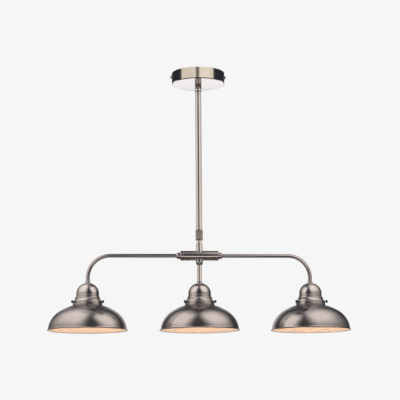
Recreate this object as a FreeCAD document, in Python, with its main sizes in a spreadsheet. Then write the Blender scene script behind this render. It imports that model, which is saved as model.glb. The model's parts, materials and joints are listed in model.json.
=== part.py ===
import FreeCAD, Part
import math
import os
import re
import Sketcher

# A three-lamp bar pendant that hangs from the ceiling on a telescopic stem.
# The origin is the middle of the ceiling cup's rim, where it meets the ceiling.
# Z points up, so everything hangs below zero. X runs along the bar of lamps,
# and the grub screws that hold the arms face -Y.

# Driving sizes, in millimetres unless the name says count or angle.
SIZES = {
    # Clearances that several pieces share
    "seat_gap": 0.3,
    "running_gap": 0.06,
    "thread_gap": 0.05,
    # Ceiling cup and the screws that hold it to its bracket
    "cup_diameter": 160,
    "cup_height": 35,
    "cup_sheet": 1.2,
    "cup_bend_radius": 3,
    "cup_screw_drop": 12,
    "cup_screw_diameter": 4,
    "cup_screw_length": 12,
    "cup_screw_head_diameter": 10,
    "cup_screw_head_height": 5.5,
    "cup_screw_head_rim": 2.2,
    "cup_screw_head_round": 6,
    "cup_screw_head_flat": 3,
    "cup_screw_slot_width": 1.4,
    "cup_screw_slot_depth": 1.8,
    # Bracket on the ceiling, with the terminal block under it
    "bracket_width": 24,
    "bracket_sheet": 2,
    "bracket_bend_radius": 4,
    "bracket_ear_length": 20,
    "bracket_slot_spacing": 64,
    "bracket_slot_length": 16,
    "bracket_slot_width": 4.6,
    "bracket_cable_hole": 20,
    "terminal_length": 20,
    "terminal_width": 17,
    "terminal_height": 12,
    "terminal_inset": 27,
    "terminal_hole_diameter": 3.6,
    "terminal_pitch": 6,
    # Hollow threaded nipple with its nut and washer
    "nipple_diameter": 10,
    "nipple_bore": 7,
    "nipple_rise": 14,
    "nut_side_count": 6,
    "nut_across_corners": 16.2,
    "nut_height": 4,
    "washer_diameter": 26,
    "washer_thickness": 1.5,
    # Coupler under the cup and the bush that joins it to the outer tube
    "top_coupler_diameter": 20,
    "top_coupler_length": 22.5,
    "top_coupler_round": 2.5,
    "bush_spigot_diameter": 13,
    "bush_spigot_length": 9,
    "bush_ring_diameter": 17.4,
    "bush_ring_height": 7.8,
    "bush_ring_chamfer": 1.2,
    "bush_ring_foot_chamfer": 0.6,
    "bush_tail_length": 15,
    # Telescopic stem
    "outer_tube_diameter": 18,
    "outer_tube_wall": 1.2,
    "outer_tube_length": 424,
    "tube_in_collar": 5,
    "inner_tube_diameter": 14,
    "inner_tube_wall": 1,
    "inner_tube_head_room": 8,
    "inner_tube_shown": 9.5,
    "glide_bush_length": 60,
    # Clamp collar and the slit collet that it squeezes
    "collar_diameter": 21.8,
    "collar_length": 31.5,
    "collar_chamfer": 1.4,
    "collar_top_chamfer": 0.7,
    "collar_floor": 3,
    "knurl_count": 30,
    "knurl_radius": 0.8,
    "knurl_stand_off": 0.25,
    "knurl_margin": 2.6,
    "collet_spigot_length": 14,
    "collet_flange_height": 1.5,
    "collet_neck_diameter": 17.3,
    "collet_neck_length": 9,
    "collet_nose_diameter": 15.7,
    "collet_nose_length": 10,
    "collet_slit_width": 1.2,
    "collet_slit_length": 15,
    "collet_slit_count": 4,
    # Coupler between the inner tube and the hub
    "stem_coupler_diameter": 19,
    "stem_coupler_shown": 22.5,
    "stem_coupler_socket": 10,
    "stem_coupler_chamfer": 0.8,
    "stem_coupler_foot_diameter": 21,
    "stem_coupler_foot_height": 2.4,
    "stem_coupler_foot_radius": 3,
    # Hub, its end pieces and the grub screws in them
    "hub_diameter": 29.5,
    "hub_length": 114,
    "hub_passage": 12,
    "hub_lip": 1,
    "hub_end_width": 9,
    "hub_end_diameter": 30.2,
    "hub_end_chamfer": 1.5,
    "hub_end_spigot_diameter": 20,
    "hub_end_spigot_length": 8,
    "hub_end_bore": 9,
    "arm_collar_diameter": 20,
    "arm_collar_length": 11.5,
    "arm_collar_nose_diameter": 14,
    "arm_collar_nose_length": 4,
    "grub_screw_diameter": 4,
    "grub_screw_inset": 0.3,
    "grub_screw_place": 4.2,
    # Bent arms and the straight drop in the middle
    "lamp_spacing": 332,
    "arm_diameter": 11.5,
    "arm_wall": 1,
    "arm_bend_radius": 65,
    "arm_socket_depth": 12,
    "arm_drop": 76,
    "ferrule_diameter": 20.8,
    "ferrule_straight": 3,
    "ferrule_shown": 13.2,
    "ferrule_round": 14,
    "ferrule_edge": 0.4,
    "drop_tube_diameter": 14,
    "drop_tube_wall": 1,
    "drop_tube_inset": 1.5,
    # Nut on top of each dome
    "dome_nut_diameter": 14.6,
    "dome_nut_height": 6.3,
    "dome_nut_chamfer": 0.6,
    "dome_nut_floor": 1.5,
    "dome_nut_spigot": 6,
    "dome_nut_stub": 8,
    # Dome that covers the lampholder
    "dome_diameter": 67,
    "dome_height": 38.5,
    "dome_sheet": 1.2,
    "dome_rim_diameter": 68.6,
    "dome_rim_height": 1.5,
    # Gallery that carries the shade
    "gallery_height": 28.5,
    "gallery_sheet": 1.6,
    "gallery_ledge_diameter": 72.6,
    "gallery_ledge_height": 4,
    "gallery_ledge_round": 2.6,
    "gallery_waist_diameter": 71.6,
    "gallery_cove_height": 8,
    "gallery_cove_radius": 24,
    "gallery_band_diameter": 83.2,
    "gallery_band_foot_diameter": 84.8,
    "gallery_band_radius": 60,
    "gallery_flange_diameter": 89.2,
    "gallery_flange_height": 2.9,
    "gallery_flange_slope": 1.6,
    "gallery_bore": 80.8,
    "flange_relief": 0.15,
    "boss_diameter": 7.2,
    "boss_reach": 43.6,
    # Thumb screws in the gallery
    "thumb_screw_count": 3,
    "thumb_screw_diameter": 4,
    "thumb_screw_rise": 10,
    "thumb_screw_reach": 54,
    "thumb_screw_head_diameter": 8.8,
    "thumb_screw_head_thickness": 3,
    "thumb_screw_head_chamfer": 0.6,
    "thumb_screw_neck_diameter": 6,
    "thumb_screw_neck_length": 1.2,
    # Shade
    "shade_diameter": 240,
    "shade_height": 74,
    "shade_sheet": 1,
    "shade_crown_share": 0.68,
    "shade_shoulder_inset": 49,
    "shade_lip_flare": 3,
    "shade_lip_height": 5,
    "shade_lip_radius": 7,
    "shade_neck_diameter": 76,
    "shade_neck_height": 14,
    "shade_neck_bead": 1.4,
    "shade_neck_bead_height": 1.6,
    # Lampholder and the ring that clamps the gallery to it
    "holder_diameter": 28.4,
    "holder_top_diameter": 12,
    "holder_top_round": 9,
    "holder_top_height": 7,
    "holder_shoulder_diameter": 32.4,
    "holder_shoulder_height": 2,
    "holder_skirt": 14.5,
    "holder_socket": 26.5,
    "holder_stud_depth": 11,
    "holder_ring_diameter": 37,
    "holder_ring_height": 6,
    # Bulb
    "bulb_cap_diameter": 14,
    "bulb_cap_length": 24,
    "bulb_cap_taper": 3,
    "bulb_cap_skirt": 1.6,
    "bulb_contact_diameter": 5,
    "bulb_contact_height": 1.4,
    "bulb_diameter": 45,
    "bulb_reach": 53,
    "bulb_glass": 1,
    "bulb_neck_diameter": 20.4,
    "bulb_neck_top_diameter": 19,
    "bulb_shoulder_angle": 50,
}

# Places and radii that follow from the driving sizes.
DERIVED = {
    "cup_floor": "cup_sheet - cup_height",
    "terminal_place": "cup_diameter / 2 - terminal_inset",
    "coupler_base": "-cup_height - top_coupler_length",
    "tube_top": "coupler_base - bush_ring_height",
    "tube_end": "tube_top - outer_tube_length",
    "tube_bore_radius": "outer_tube_diameter / 2 - outer_tube_wall",
    "collar_base": "tube_end + tube_in_collar - collar_length",
    "stem_coupler_top": "collar_base - inner_tube_shown",
    "inner_tube_base": "stem_coupler_top - stem_coupler_socket",
    "inner_tube_top": "tube_top - bush_tail_length - inner_tube_head_room",
    "inner_tube_length": "inner_tube_top - inner_tube_base",
    "hub_axis": "stem_coupler_top - stem_coupler_shown - hub_diameter / 2",
    "hub_top_flat": "sqrt(hub_diameter ^ 2 - stem_coupler_foot_diameter ^ 2) / 2",
    "hub_base_flat": "-sqrt(hub_diameter ^ 2 - ferrule_diameter ^ 2) / 2",
    "arm_start": "hub_length / 2 - arm_socket_depth",
    "dome_nut_top": "hub_axis - arm_drop",
    "dome_top": "dome_nut_top - dome_nut_height",
    "dome_base": "dome_top - dome_height",
    "dome_flat_radius": "dome_nut_diameter / 2",
    "dome_centre": "-sqrt(dome_diameter ^ 2 / 4 - dome_flat_radius ^ 2)",
    "gallery_base": "dome_base - gallery_height",
    "holder_mouth": "dome_base - holder_skirt",
    "shade_neck_radius": "shade_neck_diameter / 2",
    "shade_crown_radius": "shade_diameter * shade_crown_share",
    "shade_shoulder_radius": "shade_diameter / 2 - shade_shoulder_inset",
    "shade_wall_radius": "shade_diameter / 2 - shade_lip_flare",
    "shade_shoulder_reach": "shade_wall_radius - shade_shoulder_radius",
    "shade_radius_step": "shade_crown_radius - shade_shoulder_radius",
    "shade_centre_rise": "sqrt(shade_radius_step ^ 2 - shade_shoulder_reach ^ 2)",
    "shade_crown_level": "-sqrt(shade_crown_radius ^ 2 - gallery_flange_diameter ^ 2 / 4)",
    "shade_shoulder_level": "shade_crown_level + shade_centre_rise",
    "shade_lip_level": "shade_lip_height - shade_height",
    "bulb_centre": "bulb_diameter / 2 - bulb_reach",
}

LAMPS = {"left": "-lamp_spacing", "middle": "0", "right": "lamp_spacing"}
SIDES = {"left": -1, "right": 1}
FIRST_THUMB_SCREW_DEGREES = 90
FULL_TURN_DEGREES = 360

doc = FreeCAD.newDocument("CeilingLight")
nodes = []


def fill_sheets():
    """Puts the driving sizes in the sheet and the derived ones beside it."""
    sheet = doc.addObject("Spreadsheet::Sheet", "Sizes")
    for row, (name, size) in enumerate(SIZES.items(), start=1):
        sheet.set(f"A{row}", name)
        sheet.set(f"B{row}", str(size))
        sheet.setAlias(f"B{row}", name)
    doc.recompute()
    derived = doc.addObject("App::VarSet", "Derived")
    for name, formula in DERIVED.items():
        derived.addProperty("App::PropertyFloat", name, "Derived", formula)
        derived.setExpression(name, linked(formula))
        doc.recompute()
    return sheet


def linked(formula):
    """Returns the formula with each named size pointing at its own cell."""
    def owner(match):
        name = match[0]
        if name in SIZES:
            return f"Sizes.{name}"
        return f"Derived.{name}" if name in DERIVED else name
    return re.sub(r"[a-z_]+", owner, formula)


def value(formula):
    """Returns what a formula comes to, as a plain number."""
    return float(sheet.evalExpression(linked(formula)))


# Shared steps of drawing and shaping

def new_body(label, x="0", z="0"):
    """Returns an empty body with its own origin at the stated place."""
    body = doc.addObject("PartDesign::Body", label)
    body.Label = label
    for axis, formula in (("x", x), ("z", z)):
        if formula != "0":
            body.setExpression(f"Placement.Base.{axis}", linked(formula))
    nodes.append(body)
    return body


def new_sketch(body, plane, offset="0"):
    """Returns a sketch on one of the body's planes, moved along its normal."""
    roles = {feature.Role: feature for feature in body.Origin.OriginFeatures}
    sketch = body.newObject("Sketcher::SketchObject", "Sketch")
    sketch.AttachmentSupport = [(roles[f"{plane}_Plane"], "")]
    sketch.MapMode = "FlatFace"
    if offset != "0":
        sketch.setExpression("AttachmentOffset.Base.z", linked(offset))
    return sketch


def bind_point(sketch, edge, end, x, y):
    """Ties one end of an edge to its place in the sketch."""
    for kind, axis, formula in (("DistanceX", -2, x), ("DistanceY", -1, y)):
        if formula == "0":
            sketch.addConstraint(Sketcher.Constraint("PointOnObject", edge, end, axis))
            continue
        tie = Sketcher.Constraint(kind, -1, 1, edge, end, value(formula))
        number = sketch.addConstraint(tie)
        sketch.setExpression(f"Constraints[{number}]", linked(formula))


def bind_radius(sketch, edge, formula):
    """Ties the radius of a circle or an arc to a formula."""
    number = sketch.addConstraint(Sketcher.Constraint("Radius", edge, value(formula)))
    sketch.setExpression(f"Constraints[{number}]", linked(formula))


def arc_between(start, finish, radius, side):
    """Returns the short arc whose centre lies on that side of the way."""
    chord = finish - start
    rise = math.sqrt(max(radius ** 2 - chord.Length ** 2 / 4, 0))
    across = FreeCAD.Vector(-chord.y, chord.x, 0).normalize()
    middle = (start + finish) * 0.5
    centre = middle + across * (rise if side == "left" else -rise)
    circle = Part.Circle(centre, FreeCAD.Vector(0, 0, 1), radius)
    first, last = (start, finish) if side == "left" else (finish, start)
    begin = circle.parameter(first)
    end = circle.parameter(last)
    if end < begin:
        end += 2 * math.pi
    return Part.ArcOfCircle(circle, begin, end)


def draw(body, plane, corners, offset="0", closed=True):
    """Returns a sketch of an outline through its corners.

    A corner is (x, y) where a straight stretch reaches it, and
    (x, y, radius, side) where an arc does, with its centre on that side.
    """
    sketch = new_sketch(body, plane, offset)
    spots = [FreeCAD.Vector(value(c[0]), value(c[1]), 0) for c in corners]
    ends = {}
    for i in range(0 if closed else 1, len(corners)):
        start, finish = spots[i - 1], spots[i]
        if len(corners[i]) == 2:
            edge = sketch.addGeometry(Part.LineSegment(start, finish), False)
            ends[i] = (edge, 1, 2)
            continue
        radius, side = corners[i][2:]
        edge = sketch.addGeometry(arc_between(start, finish, value(radius), side), False)
        ends[i] = (edge, 1, 2) if side == "left" else (edge, 2, 1)
        bind_radius(sketch, edge, radius)
    for i, (edge, start, finish) in ends.items():
        bind_point(sketch, edge, finish, *corners[i][:2])
        before = ends.get(i - 1) or (ends[len(corners) - 1] if closed else None)
        if before:
            joined = Sketcher.Constraint("Coincident", before[0], before[2], edge, start)
            sketch.addConstraint(joined)
        else:
            bind_point(sketch, edge, start, *corners[0][:2])
    return sketch


def draw_circles(body, plane, circles, offset="0"):
    """Returns a sketch of circles, each given as (x, y, radius)."""
    sketch = new_sketch(body, plane, offset)
    for x, y, radius in circles:
        centre = FreeCAD.Vector(value(x), value(y), 0)
        circle = Part.Circle(centre, FreeCAD.Vector(0, 0, 1), value(radius))
        edge = sketch.addGeometry(circle, False)
        bind_point(sketch, edge, 3, x, y)
        bind_radius(sketch, edge, radius)
    return sketch


def slot(x, length, width):
    """Returns the corners of a round-ended slot that lies along X."""
    reach = f"({length} - {width}) / 2"
    half = f"{width} / 2"
    return [
        (f"{x} - {reach}", f"-{half}", half, "left"),
        (f"{x} + {reach}", f"-{half}"),
        (f"{x} + {reach} + {half}", "0", half, "left"),
        (f"{x} + {reach}", half, half, "left"),
        (f"{x} - {reach}", half),
        (f"{x} - {reach} - {half}", "0", half, "left"),
    ]


def turn(body, corners, axis="V"):
    """Turns an outline drawn on the XZ plane about one of its axes."""
    sketch = draw(body, "XZ", corners)
    feature = body.newObject("PartDesign::Revolution", "Turned")
    feature.Profile = sketch
    feature.ReferenceAxis = (sketch, [f"{axis}_Axis"])
    feature.Angle = FULL_TURN_DEGREES
    doc.recompute()
    return feature


def pad(body, sketch, length, midplane=False, reverse=False):
    """Pads a sketch by a length, to one side or to both alike."""
    feature = body.newObject("PartDesign::Pad", "Padded")
    feature.Profile = sketch
    feature.Midplane = midplane
    feature.Reversed = reverse
    feature.setExpression("Length", linked(length))
    doc.recompute()
    return feature


def cut(body, sketch, length=None, midplane=False, reverse=False):
    """Cuts a sketch through the body, or to a length where one is given."""
    before = body.Shape.Volume
    feature = body.newObject("PartDesign::Pocket", "Cut")
    feature.Profile = sketch
    feature.Midplane = midplane
    feature.Reversed = reverse
    if length is None:
        feature.Type = "ThroughAll"
    else:
        feature.setExpression("Length", linked(length))
    doc.recompute()
    if not feature.Shape.Volume < before:
        raise RuntimeError(f"{body.Label}: a cut removed nothing")
    return feature


def repeat_around(body, features, sketch, count):
    """Repeats features around the vertical axis of a sketch."""
    pattern = body.newObject("PartDesign::PolarPattern", "Around")
    pattern.Originals = features
    pattern.Axis = (sketch, ["V_Axis"])
    pattern.Angle = FULL_TURN_DEGREES
    pattern.setExpression("Occurrences", linked(count))
    body.Tip = pattern
    doc.recompute()
    return pattern


def mirror_across_yz(body, features):
    """Repeats features on the other side of the body's own YZ plane."""
    roles = {feature.Role: feature for feature in body.Origin.OriginFeatures}
    copy = body.newObject("PartDesign::Mirrored", "Mirrored")
    copy.Originals = features
    copy.MirrorPlane = (roles["YZ_Plane"], [""])
    body.Tip = copy
    doc.recompute()
    return copy


def sleeve(label, inner, outer, length, x="0", z="0"):
    """Makes a plain tube that stands on its own origin."""
    body = new_body(label, x, z)
    turn(body, [(inner, "0"), (outer, "0"), (outer, length), (inner, length)])
    return body


# Ceiling end

def ceiling_bracket():
    """A strap flat on the ceiling, with an ear at each end bent down."""
    body = new_body("ceiling_bracket")
    inside = "(cup_diameter / 2 - cup_sheet - seat_gap)"
    end = f"sqrt({inside} ^ 2 - bracket_width ^ 2 / 4)"
    bend = "bracket_bend_radius"
    inner_bend = "(bracket_bend_radius - bracket_sheet)"
    strap = [
        (f"{end} - {bend}", "0"),
        (end, f"-{bend}", bend, "right"),
        (end, "-bracket_ear_length"),
        (f"{end} - bracket_sheet", "-bracket_ear_length"),
        (f"{end} - bracket_sheet", f"-{bend}"),
        (f"{end} - {bend}", "-bracket_sheet", inner_bend, "left"),
        (f"-({end} - {bend})", "-bracket_sheet"),
        (f"-({end} - bracket_sheet)", f"-{bend}", inner_bend, "left"),
        (f"-({end} - bracket_sheet)", "-bracket_ear_length"),
        (f"-{end}", "-bracket_ear_length"),
        (f"-{end}", f"-{bend}"),
        (f"-({end} - {bend})", "0", bend, "right"),
    ]
    pad(body, draw(body, "XZ", strap), "bracket_width", midplane=True)
    for side in SIDES.values():
        place = f"{side} * bracket_slot_spacing / 2"
        opening = slot(place, "bracket_slot_length", "bracket_slot_width")
        cut(body, draw(body, "XY", opening), midplane=True)
    cable_hole = draw_circles(body, "XY", [("0", "0", "bracket_cable_hole / 2")])
    cut(body, cable_hole, midplane=True)
    thread = "cup_screw_diameter / 2 + thread_gap"
    cut(body, draw_circles(body, "YZ", [("0", "-cup_screw_drop", thread)]), midplane=True)


def ceiling_cup():
    """A spun cup with its open rim on the ceiling."""
    body = new_body("ceiling_cup")
    outer = "cup_diameter / 2"
    inner = "(cup_diameter / 2 - cup_sheet)"
    hole = "(nipple_diameter / 2 + thread_gap)"
    bend = "cup_bend_radius"
    turn(body, [
        (inner, "0"),
        (outer, "0"),
        (outer, f"{bend} - cup_height"),
        (f"{outer} - {bend}", "-cup_height", bend, "right"),
        (hole, "-cup_height"),
        (hole, "cup_floor"),
        (f"{outer} - {bend}", "cup_floor"),
        (inner, f"{bend} - cup_height", f"{bend} - cup_sheet", "left"),
    ])
    clear = "cup_screw_diameter / 2 + seat_gap"
    cut(body, draw_circles(body, "YZ", [("0", "-cup_screw_drop", clear)]), midplane=True)


def cup_screws():
    """The two slotted screws in the cup's wall, as one group."""
    body = new_body("cup_screws", z="-cup_screw_drop")
    wall = "cup_diameter / 2"
    tip = f"{wall} + cup_screw_head_height"
    thread = "cup_screw_diameter / 2"
    head = "cup_screw_head_diameter / 2"
    flat = "cup_screw_head_flat / 2"
    screw = turn(body, [
        (f"{wall} - cup_screw_length", "0"),
        (tip, "0"),
        (tip, flat),
        (f"{wall} + cup_screw_head_rim", head, "cup_screw_head_round", "left"),
        (wall, head),
        (wall, thread),
        (f"{wall} - cup_screw_length", thread),
    ], axis="H")
    half_slot = "cup_screw_slot_width / 2"
    slot_sketch = draw(body, "XZ", [
        (f"{tip} - cup_screw_slot_depth", f"-{half_slot}"),
        (f"{tip} + cup_screw_slot_depth", f"-{half_slot}"),
        (f"{tip} + cup_screw_slot_depth", half_slot),
        (f"{tip} - cup_screw_slot_depth", half_slot),
    ])
    mirror_across_yz(body, [screw, cut(body, slot_sketch, midplane=True)])


def terminal_block():
    """The block that joins the wires, under one arm of the bracket."""
    body = new_body("terminal_block", "terminal_place", "-bracket_sheet")
    across = "terminal_width / 2"
    along = "terminal_length / 2"
    base = draw(body, "XY", [
        (f"-{across}", f"-{along}"),
        (across, f"-{along}"),
        (across, along),
        (f"-{across}", along),
    ])
    pad(body, base, "terminal_height", reverse=True)
    radius = "terminal_hole_diameter / 2"
    level = "-terminal_height / 2"
    wires = [(f"{step} * terminal_pitch", level, radius) for step in (-1, 1)]
    wires.append(("0", level, radius))
    cut(body, draw_circles(body, "YZ", wires), midplane=True)


def top_nipple():
    """The hollow threaded rod that hangs the coupler on the cup."""
    length = "nipple_rise + top_coupler_length - bush_spigot_length - thread_gap"
    base = "coupler_base + bush_spigot_length + thread_gap"
    sleeve("top_nipple", "nipple_bore / 2", "nipple_diameter / 2", length, z=base)
    sleeve("nipple_washer", "nipple_diameter / 2 + thread_gap", "washer_diameter / 2",
           "washer_thickness", z="cup_floor")


def nipple_nut():
    """The six-sided nut on the nipple, inside the cup."""
    block = doc.addObject("Part::Prism", "NutBlock")
    block.setExpression("Polygon", linked("nut_side_count"))
    block.setExpression("Circumradius", linked("nut_across_corners / 2"))
    block.setExpression("Height", linked("nut_height"))
    hole = doc.addObject("Part::Cylinder", "NutThread")
    hole.setExpression("Radius", linked("nipple_diameter / 2 + thread_gap"))
    hole.setExpression("Height", linked("nut_height"))
    nut = doc.addObject("Part::Cut", "nipple_nut")
    nut.Base = block
    nut.Tool = hole
    nut.Label = "nipple_nut"
    nut.setExpression("Placement.Base.z", linked("cup_floor + washer_thickness"))
    nodes.append(nut)


def top_coupler():
    """The round coupler under the cup, with its lower edge rounded."""
    body = new_body("top_coupler", z="-cup_height")
    outer = "top_coupler_diameter / 2"
    thread = "nipple_diameter / 2 + thread_gap"
    socket = "bush_spigot_diameter / 2 + thread_gap"
    floor = "bush_spigot_length - top_coupler_length"
    turn(body, [
        (thread, "0"),
        (outer, "0"),
        (outer, "top_coupler_round - top_coupler_length"),
        (f"{outer} - top_coupler_round", "-top_coupler_length", "top_coupler_round", "right"),
        (socket, "-top_coupler_length"),
        (socket, floor),
        (thread, floor),
    ])


def tube_bush():
    """The bush between the coupler and the outer tube."""
    body = new_body("tube_bush", z="coupler_base")
    bore = "nipple_bore / 2"
    ring = "bush_ring_diameter / 2"
    spigot = "bush_spigot_diameter / 2"
    tail = "tube_bore_radius"
    end = "-bush_ring_height - bush_tail_length"
    turn(body, [
        (bore, "bush_spigot_length"),
        (spigot, "bush_spigot_length"),
        (spigot, "0"),
        (f"{ring} - bush_ring_chamfer", "0"),
        (ring, "-bush_ring_chamfer"),
        (ring, "bush_ring_foot_chamfer - bush_ring_height"),
        (f"{ring} - bush_ring_foot_chamfer", "-bush_ring_height"),
        (tail, "-bush_ring_height"),
        (tail, end),
        (bore, end),
    ])


# Telescopic stem

def stem_tubes():
    """The outer tube, the inner tube and the bush that guides its top."""
    sleeve("outer_tube", "tube_bore_radius", "outer_tube_diameter / 2",
           "outer_tube_length", z="tube_end")
    outer = "inner_tube_diameter / 2"
    sleeve("inner_tube", f"{outer} - inner_tube_wall", outer,
           "inner_tube_length", z="inner_tube_base")
    sleeve("glide_bush", outer, "tube_bore_radius - running_gap", "glide_bush_length",
           z="inner_tube_base + inner_tube_length - glide_bush_length")


def collet():
    """The bush in the outer tube's end, slit so that it grips the inner tube."""
    body = new_body("collet", z="tube_end")
    bore = "inner_tube_diameter / 2 + running_gap"
    neck = "collet_neck_diameter / 2"
    neck_end = "-collet_flange_height - collet_neck_length"
    tip = f"{neck_end} - collet_nose_length"
    turn(body, [
        (bore, "collet_spigot_length"),
        ("tube_bore_radius", "collet_spigot_length"),
        ("tube_bore_radius", "0"),
        ("outer_tube_diameter / 2", "0"),
        ("outer_tube_diameter / 2", "-collet_flange_height"),
        (neck, "-collet_flange_height"),
        (neck, neck_end),
        ("collet_nose_diameter / 2", tip),
        (bore, tip),
    ])
    half = "collet_slit_width / 2"
    slit = draw(body, "XZ", [
        (f"-{half}", f"{tip} - collet_slit_width"),
        (half, f"{tip} - collet_slit_width"),
        (half, f"{tip} + collet_slit_length"),
        (f"-{half}", f"{tip} + collet_slit_length"),
    ])
    repeat_around(body, [cut(body, slit)], slit, "collet_slit_count")


def clamp_collar():
    """The knurled nut that closes the collet on the inner tube."""
    body = new_body("clamp_collar", z="collar_base")
    outer = "collar_diameter / 2"
    mouth = "inner_tube_diameter / 2 + seat_gap"
    nose = "collet_nose_diameter / 2 + seat_gap"
    bore = "outer_tube_diameter / 2 + running_gap"
    nose_top = "collar_length - tube_in_collar - collet_flange_height - collet_neck_length"
    nose_tip = f"{nose_top} - collet_nose_length"
    profile = turn(body, [
        (mouth, "0"),
        (f"{outer} - collar_chamfer", "0"),
        (outer, "collar_chamfer"),
        (outer, "collar_length - collar_top_chamfer"),
        (f"{outer} - collar_top_chamfer", "collar_length"),
        (bore, "collar_length"),
        (bore, f"{nose_top} + seat_gap"),
        (nose, f"{nose_tip} + seat_gap"),
        (nose, "collar_floor"),
        (mouth, "collar_floor"),
    ])
    groove = [(f"{outer} + knurl_stand_off", "0", "knurl_radius")]
    knurl = cut(body, draw_circles(body, "XY", groove, offset="knurl_margin"),
                "collar_length - 2 * knurl_margin", reverse=True)
    repeat_around(body, [knurl], profile.Profile[0], "knurl_count")


def stem_coupler():
    """The coupler that carries the hub, with a small flared foot."""
    body = new_body("stem_coupler", z="stem_coupler_top")
    outer = "stem_coupler_diameter / 2"
    foot = "stem_coupler_foot_diameter / 2"
    socket = "inner_tube_diameter / 2"
    thread = "nipple_diameter / 2"
    bore = "nipple_bore / 2"
    axis = "(-stem_coupler_shown - hub_diameter / 2)"
    seat = f"{axis} + hub_top_flat"
    end = f"{axis} + hub_passage / 2 + hub_lip"
    turn(body, [
        (socket, "0"),
        (f"{outer} - stem_coupler_chamfer", "0"),
        (outer, "-stem_coupler_chamfer"),
        (outer, "stem_coupler_foot_height - stem_coupler_shown"),
        (foot, "-stem_coupler_shown", "stem_coupler_foot_radius", "left"),
        (foot, seat),
        (thread, seat),
        (thread, end),
        (bore, end),
        (bore, "-stem_coupler_socket"),
        (socket, "-stem_coupler_socket"),
    ])


# Hub and arms

def hub():
    """The solid bar in the middle, drilled for the wires."""
    body = new_body("hub", z="hub_axis")
    end = "(hub_length / 2 - hub_end_width)"
    recess = f"{end} - hub_end_spigot_length"
    outer = "hub_diameter / 2"
    spigot = "hub_end_spigot_diameter / 2"
    passage = "hub_passage / 2"
    turn(body, [
        (f"-({recess})", passage),
        (recess, passage),
        (recess, spigot),
        (end, spigot),
        (end, outer),
        (f"-{end}", outer),
        (f"-{end}", spigot),
        (f"-({recess})", spigot),
    ], axis="H")
    foot = [("0", "0", "stem_coupler_foot_diameter / 2")]
    cut(body, draw_circles(body, "XY", foot, offset="hub_top_flat"), reverse=True)
    ferrule = [("0", "0", "ferrule_diameter / 2")]
    cut(body, draw_circles(body, "XY", ferrule, offset="hub_base_flat"))
    thread = [("0", "0", "nipple_diameter / 2 + thread_gap")]
    cut(body, draw_circles(body, "XY", thread), midplane=True)


def hub_end(name, side):
    """An end piece of the hub with the stepped collar that holds an arm."""
    body = new_body(f"hub_end_{name}", z="hub_axis")
    face = "hub_length / 2"
    seat = f"({face} - hub_end_width)"
    tip = f"({face} + arm_collar_length)"
    outer = "hub_end_diameter / 2"
    spigot = "hub_end_spigot_diameter / 2"
    collar = "arm_collar_diameter / 2"
    corners = [
        (f"{seat} - hub_end_spigot_length", "hub_end_bore / 2"),
        (f"{seat} - hub_end_spigot_length", spigot),
        (seat, spigot),
        (seat, outer),
        (f"{face} - hub_end_chamfer", outer),
        (face, f"{outer} - hub_end_chamfer"),
        (face, collar),
        (f"{tip} - arm_collar_nose_length", collar),
        (tip, "arm_collar_nose_diameter / 2"),
        (tip, "arm_diameter / 2"),
        ("arm_start", "arm_diameter / 2"),
        ("arm_start", "hub_end_bore / 2"),
    ]
    turn(body, [(f"{side} * ({x})", radius) for x, radius in corners], axis="H")
    screw = (f"{side} * ({face} + grub_screw_place)", "0", "grub_screw_diameter / 2")
    cut(body, draw_circles(body, "XZ", [screw]), reverse=True)


def arm_grub_screws():
    """The two grub screws that lock the arms, as one group."""
    body = new_body("arm_grub_screws", z="hub_axis")
    place = "hub_length / 2 + grub_screw_place"
    radius = "grub_screw_diameter / 2 - thread_gap"
    circles = [(f"{side} * ({place})", "0", radius) for side in SIDES.values()]
    start = "arm_diameter / 2"
    sketch = draw_circles(body, "XZ", circles, offset=start)
    pad(body, sketch, "(arm_collar_diameter - arm_diameter) / 2 - grub_screw_inset")


def arm(name, side):
    """A tube that leaves the hub level and bends down to its lamp."""
    body = new_body(f"arm_{name}", z="hub_axis")
    bend = "arm_bend_radius"
    foot = "dome_nut_floor - arm_drop - dome_nut_height"
    path = draw(body, "XZ", [
        (f"{side} * arm_start", "0"),
        (f"{side} * (lamp_spacing - {bend})", "0"),
        (f"{side} * lamp_spacing", f"-{bend}", bend, "right" if side > 0 else "left"),
        (f"{side} * lamp_spacing", foot),
    ], closed=False)
    outer = "arm_diameter / 2"
    ring = [("0", "0", outer), ("0", "0", f"{outer} - arm_wall")]
    pipe = body.newObject("PartDesign::AdditivePipe", "Bent")
    pipe.Profile = draw_circles(body, "YZ", ring, offset=f"{side} * arm_start")
    pipe.Spine = (path, [])
    doc.recompute()


def drop_ferrule():
    """The round-shouldered ferrule under the hub."""
    body = new_body("drop_ferrule", z="hub_axis")
    outer = "ferrule_diameter / 2"
    tube = "drop_tube_diameter / 2"
    thread = "nipple_diameter / 2"
    bore = "nipple_bore / 2"
    under = "-hub_diameter / 2"
    top = "-hub_passage / 2 - hub_lip"
    turn(body, [
        (bore, top),
        (thread, top),
        (thread, "hub_base_flat"),
        (outer, "hub_base_flat"),
        (outer, f"{under} - ferrule_straight"),
        (f"{tube} + ferrule_edge", f"{under} - ferrule_shown", "ferrule_round", "right"),
        (tube, f"{under} - ferrule_shown"),
        (tube, f"{under} - drop_tube_inset"),
        (bore, f"{under} - drop_tube_inset"),
    ])
    sleeve("drop_tube", f"{tube} - drop_tube_wall", tube,
           "arm_drop - hub_diameter / 2 - drop_tube_inset", z="dome_nut_top")


# One lamp, made three times

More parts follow.
